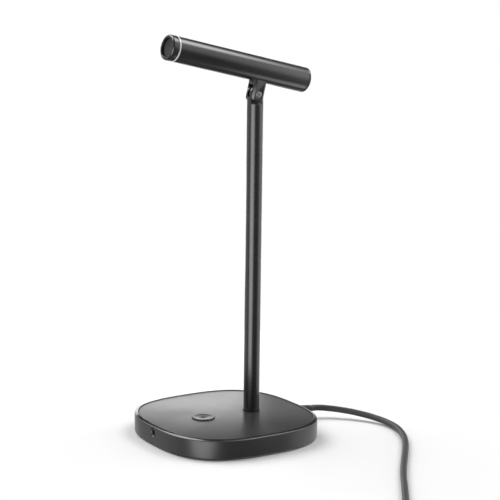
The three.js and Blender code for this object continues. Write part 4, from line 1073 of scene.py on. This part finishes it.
strands = weave.nodes.new("GeometryNodeInstanceOnPoints")
weave.links.new(sheet.outputs["Mesh"], strands.inputs["Points"])
weave.links.new(dense.outputs["Curve"], strands.inputs["Instance"])
loose = weave.nodes.new("GeometryNodeRealizeInstances")
weave.links.new(strands.outputs["Instances"], loose.inputs["Geometry"])
place = weave.nodes.new("ShaderNodeSeparateXYZ")
weave.links.new(weave.nodes.new("GeometryNodeInputPosition").outputs["Position"], place.inputs["Vector"])
pitches = [number("DIVIDE", place.outputs[axis], given.outputs["Pitch"]) for axis in ("X", "Y")]
waves = [number("COSINE", number("MULTIPLY", count, math.pi)) for count in pitches]
lift = number("MULTIPLY", number("MULTIPLY", *waves), given.outputs["Wire"])
rise = weave.nodes.new("ShaderNodeCombineXYZ")
weave.links.new(lift, rise.inputs["Z"])
waved = weave.nodes.new("GeometryNodeSetPosition")
weave.links.new(loose.outputs["Geometry"], waved.inputs["Geometry"])
weave.links.new(rise.outputs["Vector"], waved.inputs["Offset"])
squares = [number("POWER", place.outputs[axis], 2) for axis in ("X", "Y")]
reach = number("SQRT", number("ADD", *squares))
trimmed = weave.nodes.new("GeometryNodeDeleteGeometry")
weave.links.new(waved.outputs["Geometry"], trimmed.inputs["Geometry"])
weave.links.new(number("GREATER_THAN", reach, given.outputs["Radius"]), trimmed.inputs["Selection"])
crossing = weave.nodes.new("GeometryNodeTransform")
crossing.inputs["Rotation"].default_value = (0, 0, math.pi / 2)
crossing.inputs["Scale"].default_value = (1, 1, -1)
weave.links.new(trimmed.outputs["Geometry"], crossing.inputs["Geometry"])
both = weave.nodes.new("GeometryNodeJoinGeometry")
weave.links.new(trimmed.outputs["Geometry"], both.inputs["Geometry"])
weave.links.new(crossing.outputs["Geometry"], both.inputs["Geometry"])
section = weave.nodes.new("GeometryNodeCurvePrimitiveCircle")
section.inputs["Resolution"].default_value = 6
weave.links.new(given.outputs["Wire"], section.inputs["Radius"])
wires = weave.nodes.new("GeometryNodeCurveToMesh")
wires.inputs["Fill Caps"].default_value = True
weave.links.new(both.outputs["Geometry"], wires.inputs["Curve"])
weave.links.new(section.outputs["Curve"], wires.inputs["Profile Curve"])
end_tree(weave, wires.outputs["Mesh"], weave_black, out)

# The tree makes all of its own geometry, so the block that carries it doesn't show.
grille = block("nose_weave", (0, 0, 0), (1, 1, 1))
modifier = grille.modifiers.new("weave", "NODES")
modifier.node_group = weave
set_inputs(modifier, {"Radius": WEAVE_R * MM, "Pitch": WEAVE_PITCH * MM, "Wire": WIRE_R * MM})
settle(grille)
metres = Matrix.Scale(MM, 4)
slant = at(0, 0, GRILLE_FACE + 2 * WIRE_R) @ Matrix.Rotation(math.radians(WEAVE_SLANT), 4, "Z")
grille.data.transform(metres @ ON_TUBE @ slant @ metres.inverted())
attach(grille, "head", "woven_mesh", "grille_mesh")

open_foam = finish("wind_foam", (0.012, 0.012, 0.013), 1.0, grain=0.5, depth=0.15, mottle=0.3)
FOAM_R, FOAM_BACK = 5.4, -67.3
foam_profile = rounded([(0, LEDGE_FRONT, 0), (FOAM_R, LEDGE_FRONT, 0.3), (FOAM_R, FOAM_BACK, 0.3),
                        (0, FOAM_BACK, 0)])
foam = turned("wind_pad", foam_profile, open_foam, ON_TUBE, 64, False)
attach(foam, "head", "foam", "wind_foam")


# ---- Lead inside
# Thin shielded lead from the capsule, down the fork and the pole, to the board. It bends in the
# tongue's slot to meet the head at its resting tilt.
LEAD_R, LEAD_LEVEL = 0.7, 3.45
lead_route = [
    (-8, -12.2, 8.6), (-8, -9.4, 8.4), (-6.6, -7, 6.2), (-3.6, -6.9, LEAD_LEVEL + 0.3),
    (-0.8, -5.9, LEAD_LEVEL), (0, -3, LEAD_LEVEL), (0, 6, LEAD_LEVEL), (0, 16.6, LEAD_LEVEL), (0, 19.2, 4),
    (0, POLE_Y, 6.4),
]
lead_route += [(0, POLE_Y, z) for z in (20, 60, 110, 160, 205, PIVOT_Z - 4, PIVOT_Z - 2, PIVOT_Z)]
head_route = [(0, 0, 2), (0, 0, 4), (0, 0, 8), (0, -0.3, 12.6), (0, -2.6, 15.2), (0, -8, TUBE_AXIS),
              (0, -25, TUBE_AXIS), (0, -45, TUBE_AXIS), (0, -59.7, TUBE_AXIS)]
lead_route += [HEAD @ Vector(point) for point in head_route]
lead_sleeve = finish("lead_sleeve", (0.03, 0.03, 0.032), 0.5, grain=0.2, depth=0.01, mottle=0.1)
lead_curve = tube_curve("lead_curve", lead_route, LEAD_R, 12)
graph = bpy.context.evaluated_depsgraph_get()
lead_mesh = bpy.data.meshes.new_from_object(lead_curve.evaluated_get(graph))
lead = bpy.data.objects.new("mic_lead_wire", lead_mesh)
bpy.data.objects.remove(lead_curve)
put_in_scene(lead)
mark_edges(lead.data)
lead.data.materials.clear()
lead.data.materials.append(lead_sleeve)
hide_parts("mic_lead")
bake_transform(lead)


# ---- Board, weight and other inner parts
# Steel weight, nuts and washers, a green board with its chip and connectors, and the capsule in its
# rubber boot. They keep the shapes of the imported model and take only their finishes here.
plain_steel = finish("mild_steel", (0.42, 0.42, 0.43), 0.42, 1.0, grain=0.3, depth=0.01, mottle=0.1,
                     stretch=(0.2, 1, 1))
turned_brass = finish("turned_brass", (0.62, 0.44, 0.2), 0.32, 1.0, grain=0.2, depth=0.005,
                      stretch=(1, 1, 3))
green_board = finish("green_board", (0.012, 0.07, 0.03), 0.38, grain=0.9, depth=0.03, mottle=0.35)
chip_epoxy = finish("chip_epoxy", (0.015, 0.015, 0.016), 0.55, grain=0.12, depth=0.006)
boot_rubber = finish("boot_rubber", (0.016, 0.016, 0.017), 0.8, grain=0.3, depth=0.02)
inner_finishes = [
    (plain_steel, ("ballast_plate", "pole_nut", "pole_washer", "saddle_washer", "fork_nut")),
    (bright_steel, ("crystal", "capacitor_1", "capacitor_2", "microphone_capsule")),
    (turned_brass, ("pole_nipple",)),
    (green_board, ("main_board", "capsule_board")),
    (chip_epoxy, ("audio_chip", "mute_switch")),
    (tongue_plastic, ("mic_connector", "usb_connector", "mute_switch_stem")),
    (socket_black, ("headphone_jack",)),
    (boot_rubber, ("capsule_boot",)),
    (jacket, ("usb_cable_inner",)),
]
for material, names in inner_finishes:
    for name in names:
        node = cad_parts[name]
        node.data.materials.clear()
        node.data.materials.append(material)
